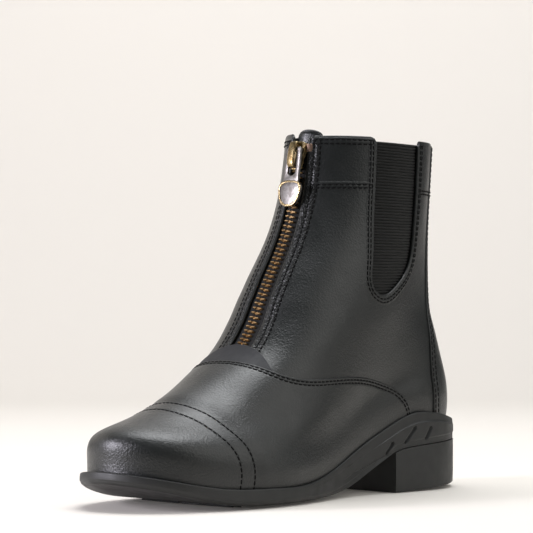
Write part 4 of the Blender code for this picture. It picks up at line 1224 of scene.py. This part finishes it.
def makeGore(name, side):
    face = -last["wall"] - 0.3 * mm
    curve = sideCurve("gore", 160)
    low = curve[:, 1].min()
    top = collar - gore["topGap"]
    turn = int(np.argmin(curve[:, 1]))
    heights = np.linspace(low - 5 * mm, top, 120)
    rear = np.interp(heights, *curve[:turn + 1][::-1][:, ::-1].T) - 5 * mm
    front = np.interp(heights, *curve[turn:][:, ::-1].T) + 5 * mm
    shares = np.linspace(0, 1, 34)
    along = rear[:, None] * (1 - shares) + front[:, None] * shares
    drop = collarDrop(along) * np.clip((heights[:, None] - low) / (top - low), 0, 1)
    target = np.stack([along, np.repeat(heights[:, None], len(shares), 1) - drop], -1).reshape(-1, 2)
    grid = findOnSkin(target, side).reshape(len(heights), len(shares), 2)
    outer = liftedSkin(grid[..., 0], grid[..., 1], np.full(grid.shape[:2], face - 0.5 * mm))
    inner = liftedSkin(grid[..., 0], grid[..., 1], np.full(grid.shape[:2], face - gore["thick"]))
    sheet = closedSheet(f"{name}Sheet", outer, inner, [elastic])
    ribs = []
    count = int((heights[-1] - heights[0] - 1.5 * mm) / gore["ribPitch"])
    for k in range(count):
        z = heights[-1] - 0.7 * mm - k * gore["ribPitch"]
        u = [np.interp(z, heights, grid[:, j, 0]) for j in range(1, len(shares) - 1)]
        v = [np.interp(z, heights, grid[:, j, 1]) for j in range(1, len(shares) - 1)]
        ribs.append((np.stack([u, v], 1), face - 0.55 * mm))
    ribPiece = pathMesh(f"{name}Ribs", ribs)
    runNodes(ribPiece, cordTree, {"Radius": gore["ribRadius"], "Sides": 8, "Material": elastic})
    return joinPieces(name, [sheet, facingOut(ribPiece)])


goreOuter = makeGore("goreOuter", 1)
goreInner = makeGore("goreInner", -1)
print("gores done")

# The zip: tape behind the slot, two rows of teeth, a leather guard inside
zipSizes = {
    "tapeHalf": 13.5 * mm,
    "tapeFace": -2.2 * mm,
    "tapeBack": -3.1 * mm,
    "low": 79 * mm,
    "teethLow": 80.5 * mm,
    "teethTop": 190.5 * mm,
    "pitch": 2.8 * mm,
    "teethLift": -1.95 * mm,
    "guardHalf": 19 * mm,
    "guardFace": -3.4 * mm,
    "guardBack": -4.6 * mm,
    "guardLow": 89 * mm,
    "humpAt": 3.2 * mm,
    "humpHalf": 8.8 * mm,
    "humpRise": 4.3 * mm,
}


# Skin coordinates on the front of the shaft: one row for each x, from low to the height that topAt gives
def frontGrid(halfWidth, low, topAt, columns, rows):
    grid = np.zeros((columns, rows, 2))
    for j, x in enumerate(np.linspace(-halfWidth, halfWidth, columns)):
        side = 1 if x > 0 else -1
        line = frontPath(side, lambda z: abs(x) + 1e-6 + 0 * z, low - 4 * mm, 1.0)
        height = skinAt(line[:, 0], line[:, 1])[:, 2]
        wanted = np.linspace(low, topAt(x), rows)
        grid[j, :, 0] = np.interp(wanted, height, line[:, 0])
        grid[j, :, 1] = np.interp(wanted, height, line[:, 1])
    return grid


def makeTape():
    grid = frontGrid(zipSizes["tapeHalf"], zipSizes["low"], lambda x: 192.6 * mm, 19, 70)
    outer = liftedSkin(grid[..., 0], grid[..., 1], np.full(grid.shape[:2], zipSizes["tapeFace"]))
    inner = liftedSkin(grid[..., 0], grid[..., 1], np.full(grid.shape[:2], zipSizes["tapeBack"]))
    return closedSheet("zipTape", outer, inner, [tape])


def makeGuard():
    def top(x):
        t = np.clip((x - zipSizes["humpAt"]) / zipSizes["humpHalf"], -1, 1)
        return collar - mm + zipSizes["humpRise"] * math.sqrt(max(0.0, 1 - t * t)) ** 0.8

    grid = frontGrid(zipSizes["guardHalf"], zipSizes["guardLow"], top, 77, 60)
    outer = liftedSkin(grid[..., 0], grid[..., 1], np.full(grid.shape[:2], zipSizes["guardFace"]))
    inner = liftedSkin(grid[..., 0], grid[..., 1], np.full(grid.shape[:2], zipSizes["guardBack"]))
    sheet = closedSheet("guardSheet", outer, inner, [leather])
    edge = grid[:, -1]
    middle = (zipSizes["guardFace"] + zipSizes["guardBack"]) / 2
    centres = liftedSkin(edge[:, 0], edge[:, 1], np.full(len(edge), middle))
    bead = sweepTube("guardEdge", centres, skinNormals(edge[:, 0], edge[:, 1]), 0.8 * mm, leather)
    return joinPieces("zipGuardSheet", [sheet, bead])


# A closed form from a few (x, y) outlines at rising heights
def stackedForm(name, outlines, heights):
    points = [(x, y, z) for outline, z in zip(outlines, heights) for x, y in outline]
    count = len(outlines[0])
    faces = gridFaces(len(outlines), count, wrap=True).tolist()
    base = (len(outlines) - 1) * count
    faces += [list(range(count)), [base + k for k in range(count)]]
    mesh = bpy.data.meshes.new(name)
    mesh.from_pydata(points, [], faces)
    made = bpy.data.objects.new(name, mesh)
    bpy.context.scene.collection.objects.link(made)
    return facingOut(made)


# One tooth: a leg clamped on its tape and a narrower head past the middle. Its length lies along X
def makeTooth():
    leg, head, low, high, neck = 0.44 * mm, 0.3 * mm, -3.3 * mm, 0.75 * mm, -0.85 * mm

    def outline(tip, grow):
        g = grow * mm
        return [(low - g, -leg - g), (neck + g, -leg - g), (neck + g, -head - g), (tip, -head - g),
                (tip, head + g), (neck + g, head + g), (neck + g, leg + g), (low - g, leg + g)]

    forms = [outline(high, 0), outline(high, 0), outline(neck + 0.02 * mm, 0), outline(neck - 0.1 * mm, -0.16)]
    return stackedForm("oneTooth", forms, [0, 0.75 * mm, 0.8 * mm, 1.6 * mm])


def makeTeeth():
    tooth = makeTooth()
    rows = []
    half = zipSizes["pitch"] / 2
    for low, turned in ((zipSizes["teethLow"], False), (zipSizes["teethLow"] + half, True)):
        length = math.floor((zipSizes["teethTop"] - zipSizes["teethLow"]) / zipSizes["pitch"] - 1)
        line = frontPath(1, lambda z: 1e-6 + 0 * z, low, zipSizes["teethTop"] + 4 * mm)
        line = resampled(line, 0.1 * mm)
        walk = np.arange(len(line)) * 0.1 * mm
        line = line[walk <= (length + 3) * zipSizes["pitch"] + 0.01 * mm]
        rows.append((line[::-1] if turned else line, zipSizes["teethLift"]))
    piece = pathMesh("zipTeeth", rows)
    runNodes(piece, repeatTree, {"Piece": tooth, "Pitch": zipSizes["pitch"], "Turn": 0.02, "Seed": 2,
                                 "Material": teethBrass}, smooth=False)
    bpy.data.objects.remove(tooth)
    return piece


tapePiece = makeTape()
guardPiece = makeGuard()
teethPiece = makeTeeth()
print("zip done", len(teethPiece.data.polygons))

# Slider and pull, in the slider's own frame: x across, y up the zip, z away from the boot
slider = {
    "place": (-1.518 * mm, 17.686 * mm, 185.523 * mm),
    "lean": (0.237777, 0.97132),
    "floor": 0.3 * mm,
    "thick": 2.4 * mm,
    "crownWidth": 4.4 * mm,
    "crownHeight": 3.4 * mm,
    "crownBar": 1.3 * mm,
    "crownReach": 7.4 * mm,
}
pull = {
    "hinge": (3.35 * mm, 4.4 * mm),
    "lean": math.radians(4),
    "thick": 1.7 * mm,
    "frameWidth": 10.4 * mm,
    "slotWidth": 5.4 * mm,
    "slotLow": -15.0 * mm,
    "frameLow": -19.5 * mm,
    "discAt": -25.2 * mm,
    "discWidth": 15.4 * mm,
    "discHeight": 14.6 * mm,
    "rim": 1.2 * mm,
}


def sliderFrame():
    s, c = slider["lean"]
    turned = Matrix(((1, 0, 0), (0, s, -c), (0, c, s))).to_4x4()
    turned.translation = Vector(slider["place"])
    return turned


# A plate with rounded edges between two heights, from an outer ring of (x, y) and any holes
def plate(name, rings, low, high, finish, edge=0.25 * mm):
    curve = bpy.data.curves.new(name, "CURVE")
    curve.dimensions = "2D"
    curve.fill_mode = "BOTH"
    curve.extrude = (high - low) / 2 - edge
    curve.bevel_depth = edge
    curve.bevel_resolution = 2
    curve.offset = -edge
    for ring in rings:
        spline = curve.splines.new("POLY")
        spline.points.add(len(ring) - 1)
        spline.use_cyclic_u = True
        for point, (x, y) in zip(spline.points, ring):
            point.co = (x, y, 0, 1)
    drawn = bpy.data.objects.new(f"{name}Line", curve)
    bpy.context.scene.collection.objects.link(drawn)
    bpy.context.view_layer.update()
    mesh = bpy.data.meshes.new_from_object(drawn.evaluated_get(bpy.context.evaluated_depsgraph_get()))
    bpy.data.objects.remove(drawn)
    bm = bmesh.new()
    bm.from_mesh(mesh)
    bpy.data.meshes.remove(mesh)
    bmesh.ops.remove_doubles(bm, verts=bm.verts, dist=0.005 * mm)
    bmesh.ops.translate(bm, verts=bm.verts, vec=(0, 0, (low + high) / 2))
    bmesh.ops.recalc_face_normals(bm, faces=bm.faces)
    made = bpy.data.meshes.new(name)
    bm.to_mesh(made)
    bm.free()
    made.materials.append(finish)
    made.shade_smooth()
    made.set_sharp_from_angle(angle=math.radians(35))
    piece = bpy.data.objects.new(name, made)
    bpy.context.scene.collection.objects.link(piece)
    return piece


def smoothRing(corners, steps=8, power=0.0):
    corners = np.array(corners + corners[:3])
    walk = np.arange(len(corners))
    places = np.linspace(1, len(corners) - 2, (len(corners) - 3) * steps, endpoint=False)
    return [tuple(p) for p in cubic(walk, corners, places)]


def oval(width, height, centre, count=56, power=2.35, taper=0.0):
    points = []
    for k in range(count):
        angle = 2 * math.pi * k / count
        c, s = math.cos(angle), math.sin(angle)
        y = math.copysign(abs(s) ** (2 / power), s) * height / 2
        x = math.copysign(abs(c) ** (2 / power), c) * width / 2 * (1 + taper * y / height)
        points.append((x, centre + y))
    return points


def roundedFrame(width, low, high, radius, steps=6, lowWidth=None):
    lowWidth = lowWidth or width
    points = []
    for side, y, turn in ((1, high, 0), (-1, high, 90), (-1, low, 180), (1, low, 270)):
        half = (width if y == high else lowWidth) / 2 - radius
        middle = y - radius if y == high else y + radius
        for k in range(steps + 1):
            angle = math.radians(turn + 90 * k / steps)
            points.append((side * half + radius * math.cos(angle), middle + radius * math.sin(angle)))
    return points


def makeSlider():
    floor = slider["floor"]
    face = floor + slider["thick"]
    shoulders = [(5.4, 4.6), (4.9, 6.9), (2.6, 7.9), (0, 8.1), (-2.6, 7.9), (-4.9, 6.9), (-5.4, 4.6), (-5.2, 1.5),
                 (-4.1, -2.6), (-3.8, -6.2), (-2.6, -7.7), (0, -8.0), (2.6, -7.7), (3.8, -6.2), (4.1, -2.6), (5.2, 1.5)]
    ring = smoothRing([(x * mm, y * mm) for x, y in shoulders], 5)
    inner = [(0.9 * x, 0.92 * y) for x, y in ring]
    body = [plate("sliderFront", [ring], face - 1.0 * mm, face, sliderBrass, 0.35 * mm),
            plate("sliderCore", [inner], floor, face - 0.9 * mm, sliderBrass, 0.1 * mm),
            plate("sliderRim", [ring], floor - 0.5 * mm, floor + 0.6 * mm, sliderBrass, 0.3 * mm)]
    height = slider["crownHeight"] + slider["crownBar"]
    outer, hollow = [], []
    for k in range(33):
        angle = math.pi * k / 32
        c, s = math.cos(angle), math.sin(angle)
        arch = max(s, 0) ** 0.34
        wide = math.copysign(abs(c) ** 0.8, c)
        outer.append((slider["crownReach"] * wide, face + height * arch))
        hollow.append(((slider["crownReach"] - slider["crownBar"]) * wide, face + slider["crownHeight"] * arch))
    sink = face - 0.6 * mm
    outer[0], outer[-1] = (slider["crownReach"], sink), (-slider["crownReach"], sink)
    reach = slider["crownReach"] - slider["crownBar"]
    hollow[0], hollow[-1] = (reach, sink), (-reach, sink)
    crown = plate("sliderCrown", [outer + hollow[::-1]], -slider["crownWidth"] / 2, slider["crownWidth"] / 2,
                  sliderBrass, 0.42 * mm)
    crown.data.transform(Matrix(((0, 0, 1, 0), (1, 0, 0, 0), (0, 1, 0, 0), (0, 0, 0, 1))))
    made = joinPieces("sliderBody", body + [crown])
    made.data.transform(sliderFrame())
    return facingOut(made)


def makePull():
    half = pull["thick"] / 2
    top = 0.95 * mm
    frameRing = roundedFrame(pull["frameWidth"], pull["frameLow"], top, 1.7 * mm, lowWidth=pull["frameWidth"] + mm)
    slot = roundedFrame(pull["slotWidth"], pull["slotLow"], -top, 2.2 * mm)
    parts = [plate("pullFrame", [frameRing, slot], -half, half, pullNickel, 0.4 * mm)]
    wide, tall, at = pull["discWidth"], pull["discHeight"], pull["discAt"]
    parts.append(plate("pullDisc", [oval(wide, tall, at, power=2.7, taper=0.4)], -half - 0.1 * mm, half - 0.15 * mm,
                       pullNickel, 0.3 * mm))
    rim = pull["rim"]
    parts.append(plate("pullRim", [oval(wide, tall, at, power=2.7, taper=0.4),
                                   oval(wide - 2 * rim, tall - 2 * rim, at, power=2.7, taper=0.4)],
                       half - 0.6 * mm, half + 0.35 * mm, pullRim, 0.3 * mm))
    made = joinPieces("pullTab", parts)
    up, out = pull["hinge"]
    made.data.transform(sliderFrame() @ Matrix.Translation((0, up, out)) @ Matrix.Rotation(pull["lean"], 4, "X"))
    return facingOut(made)


def makeStops():
    stops = []
    for x, z in ((6.7 * mm, 190.3 * mm),):
        line = frontPath(1, lambda h: x + 0 * h, 150 * mm, 1.0)
        height = skinAt(line[:, 0], line[:, 1])[:, 2]
        spot = np.array([np.interp(z, height, line[:, 0]), np.interp(z, height, line[:, 1])])
        centre = Vector(liftedSkin(spot[0], spot[1], np.array(-0.6 * mm)))
        normal = Vector(skinNormals(spot[0], spot[1]))
        stop = plate("topStop", [roundedFrame(3.6 * mm, -2.2 * mm, 2.2 * mm, 0.8 * mm)], -1.1 * mm, 1.1 * mm,
                     stopNickel, 0.35 * mm)
        turn = normal.to_track_quat("Z", "Y").to_matrix().to_4x4()
        turn.translation = centre
        stop.data.transform(turn)
        stops.append(stop)
    return stops


sliderPiece = makeSlider()
pullPiece = makePull()
teethPiece = joinPieces("zipChain", [teethPiece] + makeStops())
print("slider and pull done")

# The cup sole, in the same frame as the last
sole = {
    "columns": 1080,
    "lip": 2.1 * mm,
    "treadDepth": 3.2 * mm,
    "round": 0.8 * mm,
    "slotDepth": 1.7 * mm,
    "slotHalf": 0.9 * mm,
    "heelBreast": 74 * mm,
    "breastHollow": 3 * mm,
    "heelWear": 2.6 * mm,
    "ledge": 1.3 * mm,
    "ledgeEnd": (0.45, 0.06),
    "lugs": 1.0 * mm,
}
soleMargins = ((0.00, 7.4), (0.03, 7.2), (0.08, 5.9), (0.20, 5.0), (0.40, 3.4), (0.62, 3.8), (0.85, 3.8), (0.97, 5.2))
treadInsets = ((0.00, 0.35), (0.27, 0.35), (0.30, 0.8), (0.44, 1.0), (0.54, 0.5), (1.00, 0.5))
# Slots: foot and top as shares of the length, and the top's gap under the ridge in mm
sideSlots = ((0.297, 0.281, 4.0), (0.241, 0.215, 2.1), (0.180, 0.166, 3.6))


# Along the waist a ledge runs down to the heel's corner: its height as a share from sole to ridge
waistLine = ((0.262, 0.0), (0.30, 0.25), (0.34, 0.42), (0.40, 0.57), (1.00, 0.62))


def shareLine(table, along):
    places, sizes = np.array(table).T
    return np.interp(along / last["soleLength"], places, sizes) * mm


def planOffset(loop, distance):
    step = np.roll(loop, -1, axis=0) - np.roll(loop, 1, axis=0)
    normal = np.stack([step[:, 1], -step[:, 0]], 1)
    normal /= np.linalg.norm(normal, axis=1)[:, None]
    moved = loop.copy()
    moved[:, :2] += normal * np.reshape(distance, (-1, 1))
    return moved


def atHeight(loop, z):
    moved = loop.copy()
    moved[:, 2] = z
    return moved


# A stack of loops with its corners rounded: radii say how far each loop's corner is cut back
def roundedStack(loops, radii, steps=4):
    stack = [loops[0]]
    for before, here, after, radius in zip(loops, loops[1:], loops[2:], radii[1:-1]):
        if not radius:
            stack.append(here)
            continue
        back, ahead = before - here, after - here
        farBack = np.linalg.norm(back, axis=1)[:, None]
        farAhead = np.linalg.norm(ahead, axis=1)[:, None]
        reach = np.minimum(radius, 0.45 * np.minimum(farBack, farAhead))
        start = here + back / np.maximum(farBack, 1e-9) * reach
        end = here + ahead / np.maximum(farAhead, 1e-9) * reach
        for t in np.linspace(0, 1, steps + 1):
            stack.append((1 - t) ** 2 * start + 2 * t * (1 - t) * here + t * t * end)
    stack.append(loops[-1])
    return stack


# A closed form from a stack of loops, both ends filled with rungs from side to side
def loopForm(name, loops, finish, sharp=35):
    count = len(loops[0])
    points = toWorld(np.concatenate(loops))
    faces = gridFaces(len(loops), count, wrap=True).tolist()
    for base in (0, (len(loops) - 1) * count):
        for k in range(count // 2):
            a, b, c, d = base + k, base + k + 1, base + count - k - 1, base + (count - k) % count
            face = [a, b, c, d]
            faces.append([v for n, v in enumerate(face) if v not in face[:n]])
    faces = [face for face in faces if len(face) > 2]
    mesh = bpy.data.meshes.new(name)
    mesh.from_pydata(points.tolist(), [], faces)
    mesh.materials.append(finish)
    mesh.shade_smooth()
    made = bpy.data.objects.new(name, mesh)
    bpy.context.scene.collection.objects.link(made)
    facingOut(made)
    made.data.set_sharp_from_angle(angle=math.radians(sharp))
    return made


def footLoop():
    return skinAt(np.arange(sole["columns"]) / sole["columns"], 0.0)


# A loop of the sole's side at a distance inside its full margin
def sideLoop(distance, name, lift=0.0):
    foot = footLoop()
    moved = planOffset(foot, shareLine(soleMargins, foot[:, 1]) - distance)
    return atHeight(moved, soleLine(name, foot[:, 1]) + lift)


# The cup's inner face at a share of the way from the feather line to the cup's top
def cupInside(share):
    columns = np.arange(sole["columns"]) / sole["columns"]
    foot = footLoop()
    rows = np.linspace(0, 2.2, 45)
    point, normal, alongU, alongV = skinFrame(columns[None, :], rows[:, None])
    wall = point + normal * 0.3 * mm
    top = soleLine("cup", foot[:, 1]) + 0.02 * last["heelSeat"] * (foot[:, 1] > 0)
    loop = foot.copy()
    for j in range(len(columns)):
        height = foot[j, 2] + share * (top[j] - foot[j, 2])
        row = np.interp(height, wall[:, j, 2], rows)
        loop[j] = [np.interp(row, rows, wall[:, j, k]) for k in range(3)]
    return loop


def makeOutsole():
    foot = footLoop()
    along = foot[:, 1]
    inset = shareLine(treadInsets, along)
    rim, soft = sole["treadDepth"], sole["round"]
    cupTop = cupInside(1.0)
    lip = planOffset(cupTop, sole["lip"])
    ridge = sideLoop(0.0, "ridge")
    lipLow = atHeight(lip, ridge[:, 2] + 0.7 * mm)
    fore = np.clip((along / last["soleLength"] - 0.40) / 0.16, 0, 1)[:, None]
    fore = fore * fore * (3 - 2 * fore)
    full = atHeight(sideLoop(0.2 * mm, "cup"), lip[:, 2])
    rear = np.clip((0.13 - along / last["soleLength"]) / 0.08, 0, 1)[:, None]
    rear = 0.93 * rear * rear * (3 - 2 * rear)
    lip = lip * (1 - fore - rear) + full * (fore + rear) - (0, 0, 0.7 * mm) * rear
    lipLow = lipLow * (1 - fore - rear) + (full * 0.4 + ridge * 0.6) * (fore + rear)
    inner = cupInside(0.4)
    board = planOffset(foot, -2.5 * mm)
    under = sole["lugs"] * np.clip((along / last["soleLength"] - 0.42) / 0.1, 0, 1)
    shelf = sideLoop(0.0, "under", rim + soft)
    bevel = inset + 1.7 * mm * under / sole["lugs"]
    loops = [sideLoop(inset + 6 * mm, "under", under), sideLoop(bevel, "under", under + 0.1 * mm),
             sideLoop(inset + 0.1 * mm, "under", under + 1.5 * mm), sideLoop(inset, "under", rim - 0.2 * mm), sideLoop(soft / 2, "under", rim), shelf]
    radii = [0, 0.9 * mm, 0.9 * mm, 0.2 * mm, 0.35 * mm, 0.8 * mm]
    steps = 30
    for k in range(1, steps):
        loops.append(shelf + (ridge - shelf) * k / steps)
        radii.append(0)
    loops += [ridge, lipLow, lip, cupTop, inner, board]
    radii += [0.9 * mm, 0.8 * mm, 0.75 * mm, 0.4 * mm, 0, 0]
    stack = roundedStack(loops, radii)
    outward = planOffset(foot, 1.0) - foot
    carved = []
    for loop in stack:
        depth = np.zeros(len(loop))
        for slotFoot, slotTop, gap in sideSlots:
            low, high = slotFoot * last["soleLength"], slotTop * last["soleLength"]
            lowZ = float(soleLine("under", low)) + rim + 0.5 * mm
            highZ = float(soleLine("ridge", high)) - gap * mm
            away, where = pathDistance(loop[:, 1:], [(low, lowZ), (high, highZ)])
            t = np.clip((sole["slotHalf"] + 0.55 * mm - away) / (1.1 * mm), 0, 1)
            depth = np.maximum(depth, t * t * (3 - 2 * t))
        share = shareLine(waistLine, loop[:, 1]) / mm
        base = soleLine("under", loop[:, 1])
        tall = np.maximum(share * (ridge[:, 2] - base), 1e-6)
        below = np.clip(base + tall - loop[:, 2], 0, tall)
        end, fade = sole["ledgeEnd"]
        ledge = np.clip((end - loop[:, 1] / last["soleLength"]) / fade, 0, 1) * np.clip(tall / (3 * mm), 0, 1)
        ledge = ledge * np.clip(below / (0.6 * mm), 0, 1) * (1 - below / tall) * sole["ledge"]
        moved = loop.copy()
        moved[:, :2] -= outward[:, :2] * (depth * sole["slotDepth"] + ledge)[:, None]
        carved.append(moved)
    return loopForm("cupSole", carved, rubber)


# Small bars under the forefoot, inside the sole's outline
def makeTread():
    foot = footLoop()
    edge = planOffset(foot, shareLine(soleMargins, foot[:, 1]) - 14 * mm)
    middle = len(edge) // 2
    rows = []
    for k, place in enumerate(np.arange(142, 208, 5.2)):
        along = place * mm
        outer = np.interp(along, edge[:middle, 1], edge[:middle, 0])
        inner = np.interp(along, edge[middle:, 1][::-1], edge[middle:, 0][::-1])
        z = float(soleLine("under", along)) + 0.62 * sole["lugs"]
        for low, high in ((inner, (inner + outer) / 2 - 1.6 * mm), ((inner + outer) / 2 + 1.6 * mm, outer)):
            if high - low < 6 * mm:
                continue
            x = np.linspace(low, high, 9)
            bend = 2.4 * mm * np.cos((x - low) / (high - low) * math.pi) * (1 if low > (inner + outer) / 2 else -1)
            zs = soleLine("under", along + bend) + 0.62 * sole["lugs"]
            rows.append(np.stack([x, along + bend, zs], 1))
    points, lines = [], []
    for row in rows:
        start = len(points)
        points.extend(toWorld(row).tolist())
        lines.extend([(start + k, start + k + 1) for k in range(len(row) - 1)])
    mesh = bpy.data.meshes.new("treadBars")
    mesh.from_pydata(points, lines, [])
    made = bpy.data.objects.new("treadBars", mesh)
    bpy.context.scene.collection.objects.link(made)
    runNodes(made, cordTree, {"Radius": 0.62 * sole["lugs"], "Sides": 6, "Material": rubber})
    return facingOut(made)


def makeHeel():
    foot = footLoop()
    along = foot[:, 1]
    half = sole["columns"] // 2
    keep = int(np.sum(along[:half] < sole["heelBreast"] + 14 * mm))
    order = np.array(list(range(keep)) + list(range(sole["columns"] - keep + 1, sole["columns"])))
    top = soleLine("under", along) - 0.15 * mm

    def heelLoop(distance, z):
        moved = planOffset(foot, shareLine(soleMargins, along) - distance)
        return atHeight(moved, z)[order]

    worn = sole["heelWear"] * np.clip((70 * mm - along) / (50 * mm), 0, 1) ** 1.2
    loops = [heelLoop(12 * mm, 0.0), heelLoop(1.5 * mm, 0.8 * worn), heelLoop(0.35 * mm, worn), heelLoop(0.1 * mm, 9 * mm),
             heelLoop(0.1 * mm, top), heelLoop(0.8 * mm, top)]
    stack = roundedStack(loops, [0, 0.5 * mm, 1.0 * mm, 3 * mm, 0.45 * mm, 0])
    heel = loopForm("heelBlock", stack, rubber)
    wide = last["ballWidth"]
    x = np.linspace(-0.5, 0.5, 31) * wide
    breast = [(value, sole["heelBreast"] - sole["breastHollow"] * (1 - (2 * value / wide) ** 2)) for value in x]
    ahead = sole["heelBreast"] + wide
    outline = [*breast, (x[-1], ahead), (x[0], ahead)]
    combine(heel, prismCutter("breastCutter", outline, "Z", -wide, wide), "DIFFERENCE")
    heel.data.set_sharp_from_angle(angle=math.radians(35))
    return heel


outsolePiece = joinPieces("cupSoleAndTread", [makeOutsole(), makeTread()])
heelPiece = makeHeel()
print("sole done", len(outsolePiece.data.polygons))

# Camera at the photograph's angle
camera = {"azimuth": 43.0, "elevation": -0.5, "distance": 1350 * mm, "lens": 168.1,
          "target": (-1.52 * mm, -8.74 * mm, 124.9 * mm)}


def awayFrom(azimuth, elevation):
    az, el = math.radians(azimuth), math.radians(elevation)
    return Vector((math.sin(az) * math.cos(el), -math.cos(az) * math.cos(el), math.sin(el)))


def makeCamera():
    data = bpy.data.cameras.new("camera")
    data.lens = camera["lens"]
    data.sensor_width = 36
    eye = bpy.data.objects.new("camera", data)
    bpy.context.scene.collection.objects.link(eye)
    away = awayFrom(camera["azimuth"], camera["elevation"])
    eye.location = Vector(camera["target"]) + away * camera["distance"]
    eye.rotation_euler = (-away).to_track_quat("-Z", "Y").to_euler()
    bpy.context.scene.camera = eye


stage = {"colour": "#dfdad3", "glow": "#fffaf3", "glowLow": 0.04, "glowHigh": 0.22, "far": 1.1, "curve": 0.6,
         "half": 0.9, "front": 0.22, "floor": -0.0002}


# A pale sweep: floor, curve and wall
def makeStage():
    made, tree, shader = newMaterial("paleSweep", {"Roughness": 0.95, "Emission Color": linear(stage["glow"])})
    coords = objectCoords(tree)
    tree.links.new(blend(tree, noiseAt(tree, coords, 900, 2.0), stage["colour"], "#e2ddd6"),
                   shader.inputs["Base Color"])
    level = addNode(tree, "ShaderNodeSeparateXYZ", links={0: coords}).outputs["Z"]
    tree.links.new(spread(tree, level, stage["glowLow"], stage["glowHigh"], 0.0, 0.45),
                   shader.inputs["Emission Strength"])
    az = math.radians(camera["azimuth"])
    back = Vector((-math.sin(az), math.cos(az), 0))
    across = Vector((math.cos(az), math.sin(az), 0))
    half, curve, far = stage["half"], stage["curve"], stage["far"]
    profile = [(-stage["front"], 0.0), (far, 0.0)]
    for k in range(1, 17):
        angle = math.radians(90 * k / 16)
        profile.append((far + curve * math.sin(angle), curve - curve * math.cos(angle)))
    profile.append((far + curve, 2.2))
    points, faces = [], []
    for reach, height in profile:
        for side in (-half, half):
            points.append(back * reach + across * side + Vector((0, 0, height + stage["floor"])))
    for k in range(len(profile) - 1):
        faces.append((2 * k, 2 * k + 1, 2 * k + 3, 2 * k + 2))
    sweep = meshObject("sweep", [tuple(p) for p in points], faces, [made], smooth=None)


# Soft boxes: azimuth, elevation, distance, width, height, watts, colour
softboxes = {
    "overhead": (-160, 78, 1.6, 1.15, 1.15, 29, "#fbfdff"),
    "toeStrip": (-27, 11, 1.2, 0.26, 0.5, 17, "#f6f3ff"),
    "leftWall": (-85, 24, 1.6, 1.2, 1.1, 3.4, "#fff6ea"),
    "sideRight": (114, 30, 1.6, 1.7, 1.4, 11.0, "#fbfaf6"),
    "highFront": (55, 46, 1.8, 1.0, 0.8, 1.2, "#f4f8fa"),
}


def makeLight():
    world = bpy.data.worlds.new("studio")
    bpy.context.scene.world = world
    world.use_nodes = True
    world.node_tree.nodes["Background"].inputs["Color"].default_value = linear("#f4f6fa")
    world.node_tree.nodes["Background"].inputs["Strength"].default_value = 0.105
    centre = Vector((0, -0.02, 0.09))
    for name, (azimuth, elevation, distance, width, height, power, colour) in softboxes.items():
        data = bpy.data.lights.new(name, "AREA")
        data.shape = "RECTANGLE"
        data.size, data.size_y = width, height
        data.energy = power
        data.color = linear(colour)[:3]
        lamp = bpy.data.objects.new(name, data)
        bpy.context.scene.collection.objects.link(lamp)
        away = awayFrom(azimuth, elevation)
        lamp.location = centre + away * distance
        lamp.rotation_euler = (-away).to_track_quat("-Z", "Y").to_euler()


makeCamera()
makeStage()
makeLight()
bpy.context.scene.view_settings.view_transform = "Standard"


def ride(piece, body, slot, *replaced):
    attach(piece, body)
    if replaced:
        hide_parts(*replaced)


ride(upperPiece, "boot", "leather", "upper")
ride(vampPiece, "boot", "leather", "vamp")
ride(capPiece, "boot", "leather", "toe_cap")
ride(patchPiece, "boot", "leather", "vamp_patch")
ride(backstayPiece, "boot", "leather", "backstay")
ride(stitchPiece, "boot", "leather")
ride(goreOuter, "boot", "elastic", "gore_lateral")
ride(goreInner, "boot", "elastic", "gore_medial")
ride(tapePiece, "boot", "zip_tape", "zip_tape")
ride(teethPiece, "boot", "zip_teeth", "zip_chain")
ride(guardPiece, "boot", "leather", "zip_guard")
ride(outsolePiece, "boot", "sole_rubber", "outsole")
ride(heelPiece, "boot", "sole_rubber", "heel")
ride(sliderPiece, "boot", "slider_metal", "zip_slider")
ride(pullPiece, "pull", "pull_metal", "zip_pull")
nodes["insole"].data.materials.clear()
nodes["insole"].data.materials.append(lining)
print("everything rides on its body")
